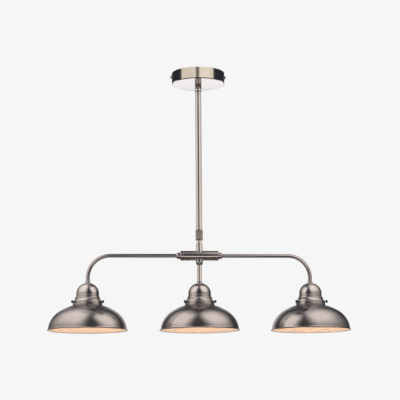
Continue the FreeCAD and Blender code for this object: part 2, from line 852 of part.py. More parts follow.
def dome_nut(name, x):
    """The nut on a dome, with the stub that the lampholder screws on."""
    body = new_body(f"dome_nut_{name}", x, "dome_top")
    outer = "dome_nut_diameter / 2"
    stub = "nipple_diameter / 2"
    bore = "nipple_bore / 2"
    end = "-dome_sheet - dome_nut_stub"
    tube = "drop_tube_diameter / 2 - drop_tube_wall"
    edge = [
        (f"{outer} - dome_nut_chamfer", "dome_nut_height"),
        (outer, "dome_nut_height - dome_nut_chamfer"),
        (outer, "0"),
        (stub, "0"),
        (stub, end),
        (bore, end),
    ]
    if name == "middle":
        spigot_top = "dome_nut_height + dome_nut_spigot"
        inside = [(bore, spigot_top), (tube, spigot_top), (tube, "dome_nut_height")]
    else:
        inside = [
            (bore, "dome_nut_floor"),
            ("arm_diameter / 2", "dome_nut_floor"),
            ("arm_diameter / 2", "dome_nut_height"),
        ]
    turn(body, inside + edge)


def dome(name, x):
    """The spun dome over a lampholder, flat under its nut."""
    body = new_body(f"dome_{name}", x, "dome_top")
    radius = "dome_diameter / 2"
    inside = "(dome_diameter / 2 - dome_sheet)"
    hole = "nipple_diameter / 2 + thread_gap"
    inner_flat = f"sqrt({inside} ^ 2 - (dome_centre + dome_sheet) ^ 2)"
    rim = "dome_rim_diameter / 2"
    turn(body, [
        (hole, "0"),
        ("dome_flat_radius", "0"),
        (radius, "dome_centre", radius, "right"),
        (radius, "dome_rim_height - dome_height"),
        (rim, "dome_rim_height - dome_height"),
        (rim, "-dome_height"),
        (inside, "-dome_height"),
        (inside, "dome_centre"),
        (inner_flat, "-dome_sheet", inside, "left"),
        (hole, "-dome_sheet"),
    ])


def gallery(name, x):
    """The ring under a dome that the shade hangs in, with three bosses."""
    body = new_body(f"gallery_{name}", x, "dome_base")
    hole = "holder_diameter / 2 + thread_gap"
    ledge = "gallery_ledge_diameter / 2"
    waist = "gallery_waist_diameter / 2"
    cove_end = "-gallery_ledge_height - gallery_cove_height"
    bore = "gallery_bore / 2"
    inner_waist = "gallery_waist_diameter / 2 - gallery_sheet"
    band_foot = "gallery_band_foot_diameter / 2"
    flange = "gallery_flange_diameter / 2"
    flange_top = "gallery_flange_height - gallery_height"
    crown = f"sqrt(shade_crown_radius ^ 2 - ({bore}) ^ 2) + shade_crown_level"
    turn(body, [
        (hole, "0"),
        (ledge, "0"),
        (ledge, "-gallery_ledge_height", "gallery_ledge_round", "right"),
        (waist, "-gallery_ledge_height"),
        ("gallery_band_diameter / 2", cove_end, "gallery_cove_radius", "left"),
        (band_foot, f"{flange_top} + gallery_flange_slope", "gallery_band_radius", "right"),
        (flange, flange_top),
        (flange, "-gallery_height"),
        (bore, f"{crown} + flange_relief - gallery_height"),
        (bore, cove_end),
        (inner_waist, "-gallery_ledge_height - gallery_sheet", "gallery_cove_radius", "right"),
        (inner_waist, "-gallery_sheet"),
        (hole, "-gallery_sheet"),
    ])
    level = "thumb_screw_rise - gallery_height"
    wall = f"{bore} + gallery_sheet / 2"
    boss_sketch = draw_circles(body, "XZ", [("0", level, "boss_diameter / 2")],
                               offset=f"-({wall})")
    boss = pad(body, boss_sketch, f"boss_reach - ({wall})", reverse=True)
    thread = [("0", level, "thumb_screw_diameter / 2 + running_gap")]
    hole_sketch = draw_circles(body, "XZ", thread)
    drilled = cut(body, hole_sketch)
    repeat_around(body, [boss, drilled], hole_sketch, "thumb_screw_count")


def thumb_screw(name, number, x):
    """One of the screws around a gallery, that holds the shade's neck."""
    body = new_body(f"thumb_screw_{name}_{number + 1}", x, "gallery_base + thumb_screw_rise")
    step = FULL_TURN_DEGREES / value("thumb_screw_count")
    turned = FreeCAD.Rotation(FreeCAD.Vector(0, 0, 1), FIRST_THUMB_SCREW_DEGREES + number * step)
    body.Placement = FreeCAD.Placement(body.Placement.Base, turned)
    tip = "shade_neck_radius + seat_gap"
    thread = "thumb_screw_diameter / 2"
    head = "thumb_screw_head_diameter / 2"
    edge = "thumb_screw_head_chamfer"
    head_start = "thumb_screw_reach - thumb_screw_head_thickness"
    turn(body, [
        (tip, "0"),
        ("thumb_screw_reach", "0"),
        ("thumb_screw_reach", f"{head} - {edge}"),
        (f"thumb_screw_reach - {edge}", head),
        (f"{head_start} + {edge}", head),
        (head_start, f"{head} - {edge}"),
        (head_start, "thumb_screw_neck_diameter / 2"),
        (f"{head_start} - thumb_screw_neck_length", "thumb_screw_neck_diameter / 2"),
        (f"{head_start} - thumb_screw_neck_length", thread),
        (tip, thread),
    ], axis="H")


def shade(name, x):
    """A spun shade: neck, crown and shoulder arcs, and a flared lip."""
    body = new_body(f"shade_{name}", x, "gallery_base")
    sheet_size = "shade_sheet"
    neck = "shade_neck_radius"
    bead = f"{neck} + shade_neck_bead"
    bead_base = "shade_neck_height - shade_neck_bead_height"
    rim = "shade_diameter / 2"
    outer_crown = "shade_crown_radius"
    inner_crown = f"({outer_crown} - {sheet_size})"
    outer_shoulder = "shade_shoulder_radius"
    inner_shoulder = f"({outer_shoulder} - {sheet_size})"

    def crown_level(crown, radius):
        """How high a crown arc stands at a radius."""
        return f"shade_crown_level + sqrt({crown} ^ 2 - ({radius}) ^ 2)"

    def meeting(crown):
        """Where the crown arc runs into the shoulder arc."""
        return (f"{crown} * shade_shoulder_reach / shade_radius_step",
                f"shade_crown_level + {crown} * shade_centre_rise / shade_radius_step")

    def lip_start(shoulder):
        """Where the shoulder arc ends at the lip."""
        drop = "(shade_lip_level - shade_shoulder_level)"
        return f"shade_shoulder_reach + sqrt({shoulder} ^ 2 - {drop} ^ 2)", "shade_lip_level"

    turn(body, [
        (f"{neck} - {sheet_size}", "shade_neck_height"),
        (bead, "shade_neck_height"),
        (bead, bead_base),
        (neck, bead_base),
        (neck, crown_level(outer_crown, neck)),
        (*meeting(outer_crown), outer_crown, "right"),
        (*lip_start(outer_shoulder), outer_shoulder, "right"),
        (rim, f"{sheet_size} - shade_height", "shade_lip_radius", "left"),
        (rim, "-shade_height"),
        (*lip_start(inner_shoulder), f"shade_lip_radius + {sheet_size}", "right"),
        (*meeting(inner_crown), inner_shoulder, "left"),
        (f"{neck} - {sheet_size}", crown_level(inner_crown, f"{neck} - {sheet_size}"),
         inner_crown, "left"),
    ])


def lampholder(name, x):
    """The holder inside a dome, and the ring that clamps the gallery to it."""
    body = new_body(f"lampholder_{name}", x, "dome_base")
    outer = "holder_diameter / 2"
    top = "(dome_height - dome_sheet)"
    shoulder = "holder_shoulder_diameter / 2"
    stud = "nipple_diameter / 2 + thread_gap"
    socket = "bulb_cap_diameter / 2 + seat_gap"
    floor = "holder_socket - holder_skirt"
    turn(body, [
        (stud, top),
        ("holder_top_diameter / 2", top),
        (outer, f"{top} - holder_top_height", "holder_top_round", "right"),
        (outer, "holder_shoulder_height"),
        (shoulder, "holder_shoulder_height"),
        (shoulder, "0"),
        (outer, "0"),
        (outer, "-holder_skirt"),
        (socket, "-holder_skirt"),
        (socket, floor),
        ("bulb_contact_diameter / 2 + seat_gap", floor),
        ("bulb_contact_diameter / 2 + seat_gap", f"{top} - holder_stud_depth"),
        (stud, f"{top} - holder_stud_depth"),
    ])
    sleeve(f"holder_ring_{name}", f"{outer} + thread_gap", "holder_ring_diameter / 2",
           "holder_ring_height", x, "dome_base - gallery_sheet - holder_ring_height")


def bulb(name, x):
    """A small round bulb, with its cap up in the lampholder."""
    cap = new_body(f"bulb_cap_{name}", x, "holder_mouth")
    radius = "bulb_cap_diameter / 2"
    skirt = "bulb_neck_top_diameter / 2"
    contact = "bulb_contact_diameter / 2"
    shoulder = "bulb_cap_length - bulb_contact_height"
    turn(cap, [
        ("0", "-bulb_cap_skirt"),
        (skirt, "-bulb_cap_skirt"),
        (radius, "-seat_gap"),
        (radius, f"{shoulder} - bulb_cap_taper"),
        (contact, shoulder),
        (contact, "bulb_cap_length"),
        ("0", "bulb_cap_length"),
    ])
    glass = new_body(f"bulb_glass_{name}", x, "holder_mouth")
    globe = "(bulb_diameter / 2)"
    hollow = "(bulb_diameter / 2 - bulb_glass)"
    sine = "sin(bulb_shoulder_angle * 1 deg)"
    cosine = "cos(bulb_shoulder_angle * 1 deg)"
    neck = "bulb_neck_diameter / 2"
    top = "bulb_neck_top_diameter / 2"

    def on_globe(size):
        """Where the line towards the neck touches a ball of that radius."""
        return f"{size} * {sine}", f"bulb_centre + {size} * {cosine}"

    def neck_level(size, radius_at_neck):
        """Where the line that touches the globe reaches the neck."""
        return f"bulb_centre + ({size} - ({radius_at_neck}) * {sine}) / {cosine}"

    turn(glass, [
        ("0", "-bulb_reach"),
        (globe, "bulb_centre", globe, "left"),
        (*on_globe(globe), globe, "left"),
        (neck, neck_level(globe, neck)),
        (top, "-bulb_cap_skirt"),
        (f"{top} - bulb_glass", "-bulb_cap_skirt"),
        (f"{neck} - bulb_glass", neck_level(hollow, f"{neck} - bulb_glass")),
        on_globe(hollow),
        (hollow, "bulb_centre", hollow, "right"),
        ("0", "bulb_glass - bulb_reach", hollow, "right"),
    ])


def check_document():
    """Stops the build where an object failed or a sub-part is not whole."""
    doc.recompute()
    for item in doc.Objects:
        if "Invalid" in item.State or "Error" in item.State:
            raise RuntimeError(f"{item.Label}: {item.State}")
    for node in nodes:
        if node.Shape.isNull() or not node.Shape.isValid() or not node.Shape.Solids:
            raise RuntimeError(f"{node.Label}: the shape is not a whole solid")


def export_nodes():
    """Writes each sub-part to a file that bears its name."""
    os.makedirs("parts", exist_ok=True)
    for node in nodes:
        node.Shape.exportStep(f"parts/{node.Label}.step")


sheet = fill_sheets()
ceiling_bracket()
ceiling_cup()
cup_screws()
terminal_block()
top_nipple()
nipple_nut()
top_coupler()
tube_bush()
stem_tubes()
collet()
clamp_collar()
stem_coupler()
hub()
for side_name, side_sign in SIDES.items():
    hub_end(side_name, side_sign)
    arm(side_name, side_sign)
arm_grub_screws()
drop_ferrule()
for lamp_name, lamp_place in LAMPS.items():
    dome_nut(lamp_name, lamp_place)
    dome(lamp_name, lamp_place)
    gallery(lamp_name, lamp_place)
    shade(lamp_name, lamp_place)
    lampholder(lamp_name, lamp_place)
    bulb(lamp_name, lamp_place)
    for screw_number in range(int(value("thumb_screw_count"))):
        thumb_screw(lamp_name, screw_number, lamp_place)
check_document()
export_nodes()
print(f"{len(nodes)} sub-parts written")
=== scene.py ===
import json
import logging
import math
from collections.abc import Callable, Sequence
from dataclasses import dataclass, replace
from enum import Enum

import bpy
import numpy as np
from mathutils import Matrix, Vector

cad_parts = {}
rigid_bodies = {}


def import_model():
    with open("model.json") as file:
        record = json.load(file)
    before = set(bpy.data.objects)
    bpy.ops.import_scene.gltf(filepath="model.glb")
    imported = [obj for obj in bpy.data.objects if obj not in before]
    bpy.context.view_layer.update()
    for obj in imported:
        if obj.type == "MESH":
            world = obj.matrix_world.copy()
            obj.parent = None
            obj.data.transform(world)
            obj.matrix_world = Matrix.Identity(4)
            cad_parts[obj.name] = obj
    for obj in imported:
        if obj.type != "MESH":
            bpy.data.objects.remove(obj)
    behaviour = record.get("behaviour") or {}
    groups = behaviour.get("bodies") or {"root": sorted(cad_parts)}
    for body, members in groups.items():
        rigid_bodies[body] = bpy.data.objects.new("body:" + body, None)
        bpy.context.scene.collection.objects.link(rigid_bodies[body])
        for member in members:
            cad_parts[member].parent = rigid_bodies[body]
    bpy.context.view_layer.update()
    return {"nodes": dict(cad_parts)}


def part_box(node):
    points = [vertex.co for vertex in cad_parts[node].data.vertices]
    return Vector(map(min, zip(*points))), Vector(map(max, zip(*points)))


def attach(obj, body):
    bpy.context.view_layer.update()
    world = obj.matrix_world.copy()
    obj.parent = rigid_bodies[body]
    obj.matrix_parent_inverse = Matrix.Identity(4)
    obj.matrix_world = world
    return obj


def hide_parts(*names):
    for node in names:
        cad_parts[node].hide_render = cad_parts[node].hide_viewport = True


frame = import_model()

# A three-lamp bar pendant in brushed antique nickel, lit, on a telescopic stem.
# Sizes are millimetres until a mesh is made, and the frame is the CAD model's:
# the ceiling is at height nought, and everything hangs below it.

LOG = logging.getLogger("pendant")
MM = 0.001
TAU = 2 * math.pi
QUARTER = math.pi / 2
WEAR_LAYER = "wear"
GRAIN_LAYER = "grain"
GLOW_LAYER = "glow"

# A turn above SHARP_TURN is a corner, and an arc has a point every ARC_STEP. A
# corner's curve takes up to CORNER_SHARE of the stretch beside it, the flat kept
# beyond it FLAT_SHARE or FLAT_MOST, and CORNER_WEAR runs over them all.
SHARP_TURN = math.radians(15)
ARC_STEP = math.radians(7)
CORNER_SHARE = 0.38
FLAT_SHARE = 0.1
FLAT_MOST = 0.35
CORNER_WEAR = np.array([0, 0.4, 0.8, 1, 0.8, 0.4, 0])
CORNER_MIDDLE = 3
NO_LENGTH = 1e-9
POLE_RADIUS = 1e-6

CUP_PIECES = ("spun_cup",)
STEM_PIECES = ("cup_", "stem_", "knurled_collar", "hub_coupler", "middle_drop_tube")

Colour = tuple[float, float, float]
Pair = tuple[float, float]
Relief = Callable[[np.ndarray, np.ndarray, np.ndarray], np.ndarray]


class Side(Enum):
    """Which side of the way an arc's centre lies on."""

    LEFT = 1
    RIGHT = -1


class Pattern(Enum):
    """What a pattern follows: the turned or bent surface, or solid space."""

    TURNED = "turned"
    SOLID = "solid"


class Body(Enum):
    """The bodies that pieces ride on, apart from the screws' and the bulbs'."""

    MOUNT = "ceiling_mount"
    COLLAR = "clamp_collar"
    BAR = "lamp_bar"


class Slot(Enum):
    """The record's material slots, named beside the new pieces."""

    METAL = "antique_metal"
    SHADE = "shade_metal"
    STEEL = "black_steel"
    HOLDER = "holder_plastic"
    CAP = "cap_metal"
    GLASS = "bulb_glass"


Corner = Pair | tuple[float, float, float, Side]


# Profiles and surfaces


@dataclass(frozen=True)
class Outline:
    """A profile of radius and height, with the wear at each of its points."""

    points: np.ndarray
    wear: np.ndarray
    closed: bool


@dataclass(frozen=True)
class Surface:
    """A mesh before it is made: points, faces, wear, grain and face zones."""

    points: np.ndarray
    faces: list[list[int]]
    wear: np.ndarray
    grain: np.ndarray
    zones: np.ndarray


@dataclass(frozen=True)
class Bell:
    """A crown arc that runs into a tighter shoulder arc.

    The crown's centre is on the axis, at the height that puts the crown at
    nought at the start radius. The shoulder's centre is as far from it as the
    two radii differ, and as far out as the wall less the shoulder's radius. The
    arcs meet on the line through both centres. An inset makes both smaller, for
    the inner side of the sheet.
    """

    crown: float
    shoulder: float
    wall: float
    start: float

    @property
    def floor(self) -> float:
        """The height of the crown's centre."""
        return -math.sqrt(self.crown ** 2 - self.start ** 2)

    @property
    def reach(self) -> float:
        """How far the shoulder's centre is from the axis."""
        return self.wall - self.shoulder

    @property
    def lift(self) -> float:
        """How far the shoulder's centre is above the crown's."""
        return math.sqrt((self.crown - self.shoulder) ** 2 - self.reach ** 2)

    def crown_height(self, radius: float, inset: float = 0.0) -> float:
        """Returns the crown's height at a radius."""
        return self.floor + math.sqrt((self.crown - inset) ** 2 - radius ** 2)

    def meeting(self, inset: float = 0.0) -> Pair:
        """Returns where the two arcs meet."""
        share = (self.crown - inset) / (self.crown - self.shoulder)
        return self.reach * share, self.floor + self.lift * share

    def shoulder_end(self, height: float, inset: float = 0.0) -> Pair:
        """Returns the shoulder's point at a height."""
        drop = height - self.floor - self.lift
        return self.reach + math.sqrt((self.shoulder - inset) ** 2 - drop ** 2), height


@dataclass(frozen=True)
class Ribs:
    """Straight ribs round a turned piece.

    The cut at angle a is the depth times sin(n a / 2) to a power, outside a
    radius, and it fades out a short way inside two heights.
    """

    count: int
    depth: float
    power: int
    outside: float
    low: float = -math.inf
    high: float = math.inf
    fade: float = 0.5

    def __call__(self, angle: np.ndarray, radius: np.ndarray, height: np.ndarray
                 ) -> np.ndarray:
        """Works out what the ribs change the radius by.

        Args:
            angle: the angle of each column.
            radius: the radius of each row.
            height: the height of each row.

        Returns:
            The change at each row and column.
        """
        inside = np.minimum(height - self.low, self.high - height)
        band = np.clip(inside / self.fade, 0, 1) * (radius > self.outside)
        return -self.depth * band * np.sin(angle * self.count / 2) ** self.power


def rise(value: np.ndarray, width: float | np.ndarray) -> np.ndarray:
    """Returns a smooth step: t t (3 - 2t), where t is the value's share of the width."""
    share = np.clip(value / width, 0, 1)
    return share ** 2 * (3 - 2 * share)


def travelled(points: np.ndarray) -> np.ndarray:
    """Returns how far along a line each of its points is."""
    return np.concatenate([[0], np.cumsum(np.linalg.norm(np.diff(points, axis=0), axis=1))])


def arc_points(start: np.ndarray, finish: np.ndarray, radius: float, side: Side,
               step: float) -> np.ndarray:
    """Works out the short arc between two points, without its start.

    The centre is the middle of the chord, moved square to it by the root of
    the radius squared less half the chord squared. A point is the centre plus
    the radius times (cos a, sin a).

    Args:
        start: where the arc begins.
        finish: where it ends.
        radius: the arc's radius.
        side: the side of the way that the centre lies on.
        step: the longest stretch between two points.

    Returns:
        The points, one to a row.
    """
    chord = finish - start
    length = float(np.hypot(*chord))
    across = np.array([-chord[1], chord[0]]) / length
    away = math.sqrt(max(radius ** 2 - length ** 2 / 4, 0))
    centre = (start + finish) / 2 + side.value * away * across
    first, last = (math.atan2(*(end - centre)[::-1]) for end in (start, finish))
    sweep = (last - first + math.pi) % TAU - math.pi
    count = max(math.ceil(abs(sweep) / ARC_STEP), math.ceil(abs(sweep) * radius / step), 1)
    angles = first + sweep * np.arange(1, count + 1) / count
    return centre + radius * np.stack([np.cos(angles), np.sin(angles)], axis=1)


def soften(points: np.ndarray, closed: bool, rounding: float) -> Outline:
    """Rounds the sharp corners of a line.

    A corner C becomes the curve (1-t)^2 A + 2t(1-t) C + t^2 B, where A and B lie
    a short way before and after it, with one more point beyond each of them
    that keeps the flats flat.

    Args:
        points: the line's points, with the solid on its left.
        closed: whether the last point joins the first.
        rounding: how far before and after a corner the curve begins.

    Returns:
        The rounded outline, worn at its outer corners and dirty in its inner ones.
    """
    back = np.roll(points, 1, axis=0) - points
    ahead = np.roll(points, -1, axis=0) - points
    cross = ahead[:, 0] * back[:, 1] - ahead[:, 1] * back[:, 0]
    turn = np.arctan2(cross, -(back * ahead).sum(axis=1))
    sharp = np.abs(turn) > SHARP_TURN
    if not closed:
        sharp[[0, -1]] = False
    lengths = [np.maximum(np.hypot(*way.T), NO_LENGTH)[:, None] for way in (back, ahead)]
    back, ahead = back / lengths[0], ahead / lengths[1]
    shorter = np.minimum(*lengths)
    reach = np.minimum(rounding, CORNER_SHARE * shorter)
    flat = np.minimum(FLAT_MOST, FLAT_SHARE * shorter)
    before, after = points + back * reach, points + ahead * reach
    curve = [(1 - t) ** 2 * before + 2 * t * (1 - t) * points + t ** 2 * after
             for t in np.linspace(0, 1, len(CORNER_WEAR) - 2)]
    blocks = np.stack([before + back * flat, *curve, after + ahead * flat], axis=1)
    kept = np.zeros(blocks.shape[:2], bool)
    kept[sharp] = True
    kept[~sharp, CORNER_MIDDLE] = True
    blocks[~sharp, CORNER_MIDDLE] = points[~sharp]
    strength = np.where(sharp, np.sign(turn) * np.minimum(np.abs(turn) / QUARTER, 1), 0)
    return Outline(blocks[kept], (strength[:, None] * CORNER_WEAR)[kept], closed)


def trace(corners: Sequence[Corner], closed: bool = True, rounding: float = 0.25,
          step: float = 2.0) -> Outline:
    """Joins corners into a profile, by straight stretches and arcs.

    Args:
        corners: (radius, height), or (radius, height, arc radius, side) where
            an arc reaches the corner. The solid is on the left of the way.
        closed: whether the last corner joins the first.
        rounding: how far the sharp corners are rounded.
        step: the longest stretch between two points of an arc.

    Returns:
        The rounded outline.
    """
    spots = [np.array(corner[:2], float) for corner in corners]
    runs = [spots[0][None]]
    for number in range(1, len(corners) + int(closed)):
        finish = spots[number % len(corners)]
        arc = corners[number % len(corners)][2:]
        runs.append(arc_points(spots[number - 1], finish, *arc, step) if arc else finish[None])
    points = np.concatenate(runs)
    return soften(points[:-1] if closed else points, closed, rounding)


def woven_faces(rings: int, around: int, closed: bool, poles: Sequence[int]
                ) -> tuple[np.ndarray, np.ndarray, np.ndarray]:
    """Joins a grid of rings by faces, with one point for each pole ring.

    Args:
        rings: how many rings the grid has.
        around: how many points a ring has.
        closed: whether the last ring joins the first.
        poles: the rings that have shrunk to a point.

    Returns:
        The quads, the triangles beside the poles, and the ring of each face.
    """
    index = np.arange(rings * around).reshape(rings, around)
    for ring in poles:
        index[ring] = index[ring, 0]
    lower = index if closed else index[:-1]
    upper = np.roll(index, -1, axis=0) if closed else index[1:]
    quads = np.stack([lower, np.roll(lower, -1, axis=1), np.roll(upper, -1, axis=1), upper],
                     axis=-1).reshape(-1, 4)
    ring_of = np.repeat(np.arange(len(lower)), around)
    start = quads[:, 0] == quads[:, 1]
    end = quads[:, 2] == quads[:, 3]
    whole = ~start & ~end
    triangles = np.concatenate([quads[start][:, [0, 2, 3]], quads[end][:, [0, 1, 2]]])
    order = np.concatenate([ring_of[whole], ring_of[start], ring_of[end]])
    return quads[whole], triangles, order


def swept(centre: np.ndarray, across: np.ndarray, aside: np.ndarray, radius: np.ndarray,
          outline: Outline, run: np.ndarray, zones: np.ndarray | None = None) -> Surface:
    """Carries rings along a path.

    The point at angle a on a ring is centre + radius (cos a across + sin a
    aside), and its grain is the ring's own place with the run along the path.

    Args:
        centre: the middle of each ring.
        across: the direction of each ring's first point.
        aside: the direction a quarter turn on.
        radius: the radius at each ring and angle.
        outline: what the rings follow, for its wear and whether it is closed.
        run: how far along the path each ring is.
        zones: the finish of each stretch between rings, if it has more than one.

    Returns:
        The surface in metres.
    """
    rings, around = radius.shape
    angle = np.arange(around) * TAU / around
    place = np.stack([radius * np.cos(angle), radius * np.sin(angle)], axis=-1)
    points = (centre[:, None] + place[..., :1] * across[:, None]
              + place[..., 1:] * aside[:, None])
    runs = np.broadcast_to(run[:, None, None], (rings, around, 1))
    grain = np.concatenate([place, runs], axis=-1)
    ends = [] if outline.closed else [0, rings - 1]
    poles = [ring for ring in ends if radius[ring].max() < POLE_RADIUS]
    quads, triangles, order = woven_faces(rings, around, outline.closed, poles)
    used, compact = np.unique(np.concatenate([quads.ravel(), triangles.ravel()]),
                              return_inverse=True)
    faces = (compact[:quads.size].reshape(-1, 4).tolist()
             + compact[quads.size:].reshape(-1, 3).tolist())
    zones = np.zeros(rings, int) if zones is None else zones
    return Surface(points.reshape(-1, 3)[used] * MM, faces,
                   np.repeat(outline.wear, around)[used], grain.reshape(-1, 3)[used] * MM,
                   zones[order])


def turned(outline: Outline, around: int, relief: Relief | None = None,
           zones: np.ndarray | None = None) -> Surface:
    """Turns a profile about the vertical axis through nought.

    The point at angle a is (r cos a, r sin a, z), where r is the profile's
    radius and the relief at that angle added up.

    Args:
        outline: the profile.
        around: how many points there are in a turn.
        relief: what the radius changes by, from angle, radius and height.
        zones: the finish of each stretch of the profile.

    Returns:
        The surface in metres.
    """
    radius, height = outline.points.T
    angle = np.arange(around) * TAU / around
    grid = np.repeat(radius[:, None], around, axis=1)
    if relief:
        grid = grid + relief(angle[None], radius[:, None], height[:, None])
    centre = np.stack([0 * height, 0 * height, height], axis=1)
    across, aside = (np.broadcast_to(way, centre.shape) for way in np.eye(3)[:2])
    return swept(centre, across, aside, grid, outline, travelled(outline.points), zones)


def lathed(corners: Sequence[Corner], around: int = 96, relief: Relief | None = None,
           **drawing: bool | float) -> Surface:
    """Returns the turned surface of a profile, drawn from its corners as trace draws it."""
    return turned(trace(corners, **drawing), around, relief)


def placed(surface: Surface, matrix: Matrix) -> Surface:
    """Returns a surface moved by a matrix in metres, with its grain as it was."""
    turn = np.array(matrix)
    return replace(surface, points=surface.points @ turn[:3, :3].T + turn[:3, 3])


def lifted(surface: Surface, z: float, x: float = 0.0) -> Surface:
    """Returns a surface moved to a level and to a place along the bar, in millimetres."""
    return placed(surface, Matrix.Translation((x * MM, 0, z * MM)))


def joined(surfaces: Sequence[Surface]) -> Surface:
    """Joins several surfaces into one mesh.

    Args:
        surfaces: the surfaces, in place.

    Returns:
        One surface, with the points and faces of each in turn.
    """
    faces, start = [], 0
    for surface in surfaces:
        faces += [[start + corner for corner in face] for face in surface.faces]
        start += len(surface.points)
    rows = {field: np.concatenate([getattr(surface, field) for surface in surfaces])
            for field in ("points", "wear", "grain", "zones")}
    return Surface(faces=faces, **rows)


def level(node: str, top: bool = True) -> float:
    """Returns the height of a CAD node's top or base, in millimetres."""
    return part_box(node)[1 if top else 0].z / MM


def tube_for(node: str, radius: float, wall: float) -> Surface:
    """Builds a plain tube as long as its CAD node, and in its place.

    Args:
        node: the CAD node.
        radius: the tube's outer radius.
        wall: its thickness.

    Returns:
        The tube.
    """
    base = level(node, top=False)
    length = level(node) - base
    return lifted(lathed([
        (radius - wall, 0.0), (radius, 0.0), (radius, length), (radius - wall, length),
    ], rounding=0.15), base)


def add_layer(mesh: bpy.types.Mesh, name: str, kind: str, values: np.ndarray) -> None:
    """Adds an attribute to a mesh's points.

    Args:
        mesh: the mesh.
        name: the attribute's name.
        kind: FLOAT or FLOAT_VECTOR.
        values: one row to a point.
    """
    layer = mesh.attributes.new(name, kind, "POINT")
    field = "value" if kind == "FLOAT" else "vector"
    layer.data.foreach_set(field, values.astype(np.float32).ravel())


def linked(name: str, data: bpy.types.ID) -> bpy.types.Object:
    """Makes an object in the scene.

    Args:
        name: its name.
        data: its mesh or camera.

    Returns:
        The object.
    """
    made = bpy.data.objects.new(name, data)
    bpy.context.scene.collection.objects.link(made)
    return made


# Node trees


class Wiring:
    """Adds nodes to one tree and joins them."""

    def __init__(self, tree: bpy.types.NodeTree) -> None:
        """Takes the tree to work on."""
        self.tree = tree

    def fill(self, node: bpy.types.Node, values: dict[str | int, object]) -> bpy.types.Node:
        """Joins inputs of a node to sockets, or sets plain values on them.

        Args:
            node: the node.
            values: a socket or a plain value for an input's name or number.

        Returns:
            The node.
        """
        for key, value in values.items():
            if isinstance(value, bpy.types.NodeSocket):
                self.tree.links.new(value, node.inputs[key])
            else:
                node.inputs[key].default_value = value
        return node

    def add(self, kind: str, values: dict[str | int, object] | None = None,
            **settings: object) -> bpy.types.Node:
        """Adds a node.

        Args:
            kind: its type.
            values: what its inputs are filled with.
            settings: its properties.

        Returns:
            The node.
        """
        node = self.tree.nodes.new(kind)
        for name, value in settings.items():
            setattr(node, name, value)
        return self.fill(node, values or {})

    def maths(self, operation: str, first: object, second: object,
              clamp: bool = False) -> bpy.types.NodeSocket:
        """Returns the result of a sum on two values."""
        return self.add("ShaderNodeMath", {0: first, 1: second}, operation=operation,
                        use_clamp=clamp).outputs[0]

    def blend(self, share: object, first: object, second: object) -> bpy.types.NodeSocket:
        """Returns a colour between two others."""
        return self.add("ShaderNodeMix", {0: share, 6: first, 7: second},
                        data_type="RGBA").outputs[2]

    def spread(self, value: object, low: float = 0.0, high: float = 1.0,
               onto: Pair = (0.0, 1.0)) -> bpy.types.NodeSocket:
        """Returns a value moved from one range onto another, and kept inside it."""
        values = dict(enumerate((value, low, high, *onto)))
        return self.add("ShaderNodeMapRange", values).outputs[0]

    def noise(self, place: object, scale: object, detail: float, roughness: float
              ) -> bpy.types.NodeSocket:
        """Returns the value of a noise at a place."""
        values = {"Vector": place, "Scale": scale, "Detail": detail, "Roughness": roughness}
        return self.add("ShaderNodeTexNoise", values).outputs[0]

    def bump(self, height: bpy.types.NodeSocket, distance: float) -> bpy.types.NodeSocket:
        """Returns the normal that a relief gives."""
        return self.add("ShaderNodeBump", {"Height": height, "Distance": distance}).outputs[0]

    def layer(self, name: str, output: str) -> bpy.types.NodeSocket:
        """Returns an attribute of the mesh."""
        return self.add("ShaderNodeAttribute", attribute_name=name).outputs[output]

    def place(self, pattern: Pattern) -> bpy.types.NodeSocket:
        """Finds the place that a pattern is worked out from.

        Args:
            pattern: what the pattern follows.

        Returns:
            The place on the surface, or in space.
        """
        if pattern is Pattern.TURNED:
            return self.layer(GRAIN_LAYER, "Vector")
        return self.add("ShaderNodeTexCoord").outputs["Object"]

    def mix_shaders(self, share: object, first: bpy.types.Node, second: bpy.types.Node
                    ) -> bpy.types.NodeSocket:
        """Returns a shader between two others."""
        values = {0: share, 1: first.outputs[0], 2: second.outputs[0]}
        return self.add("ShaderNodeMixShader", values).outputs[0]


def new_group(name: str, inputs: dict[str, str], outputs: dict[str, str]
              ) -> tuple[Wiring, dict[str, bpy.types.NodeSocket], bpy.types.Node]:
    """Starts a shader node group.

    Args:
        name: the group's name.
        inputs: the kind of each input.
        outputs: the kind of each output.

    Returns:
        The wiring of its tree, its inputs by name and its output node.
    """
    tree = bpy.data.node_groups.new(name, "ShaderNodeTree")
    for way, sockets in (("INPUT", inputs), ("OUTPUT", outputs)):
        for label, kind in sockets.items():
            tree.interface.new_socket(label, in_out=way, socket_type=f"NodeSocket{kind}")
    wiring = Wiring(tree)
    given = dict(wiring.add("NodeGroupInput").outputs.items())
    return wiring, given, wiring.add("NodeGroupOutput")


def grain_group() -> bpy.types.NodeTree:
    """Builds the fine lines that a lathe or a brush leaves in metal.

    The lines are a noise that is stretched along the brushing: its place is
    multiplied by a small number across the turn and a large one along the run.

    Returns:
        The group, with outputs Lines and Bands from nought to one.
    """
    wiring, given, result = new_group(
        "brushed grain", {"Place": "Vector", "Lines": "Float", "Waver": "Float"},
        {"Lines": "Float", "Bands": "Float"})
    stretch = wiring.add("ShaderNodeCombineXYZ", {
        0: given["Waver"], 1: given["Waver"], 2: given["Lines"]}).outputs[0]
    place = wiring.add("ShaderNodeVectorMath", {0: given["Place"], 1: stretch},
                       operation="MULTIPLY").outputs[0]
    fine = wiring.noise(place, scale=1.0, detail=3.0, roughness=0.65)
    broad = wiring.noise(place, scale=0.12, detail=2.0, roughness=0.5)
    wiring.fill(result, {"Lines": wiring.spread(fine, low=0.3, high=0.7),
                         "Bands": wiring.spread(broad, low=0.3, high=0.7)})
    return wiring.tree


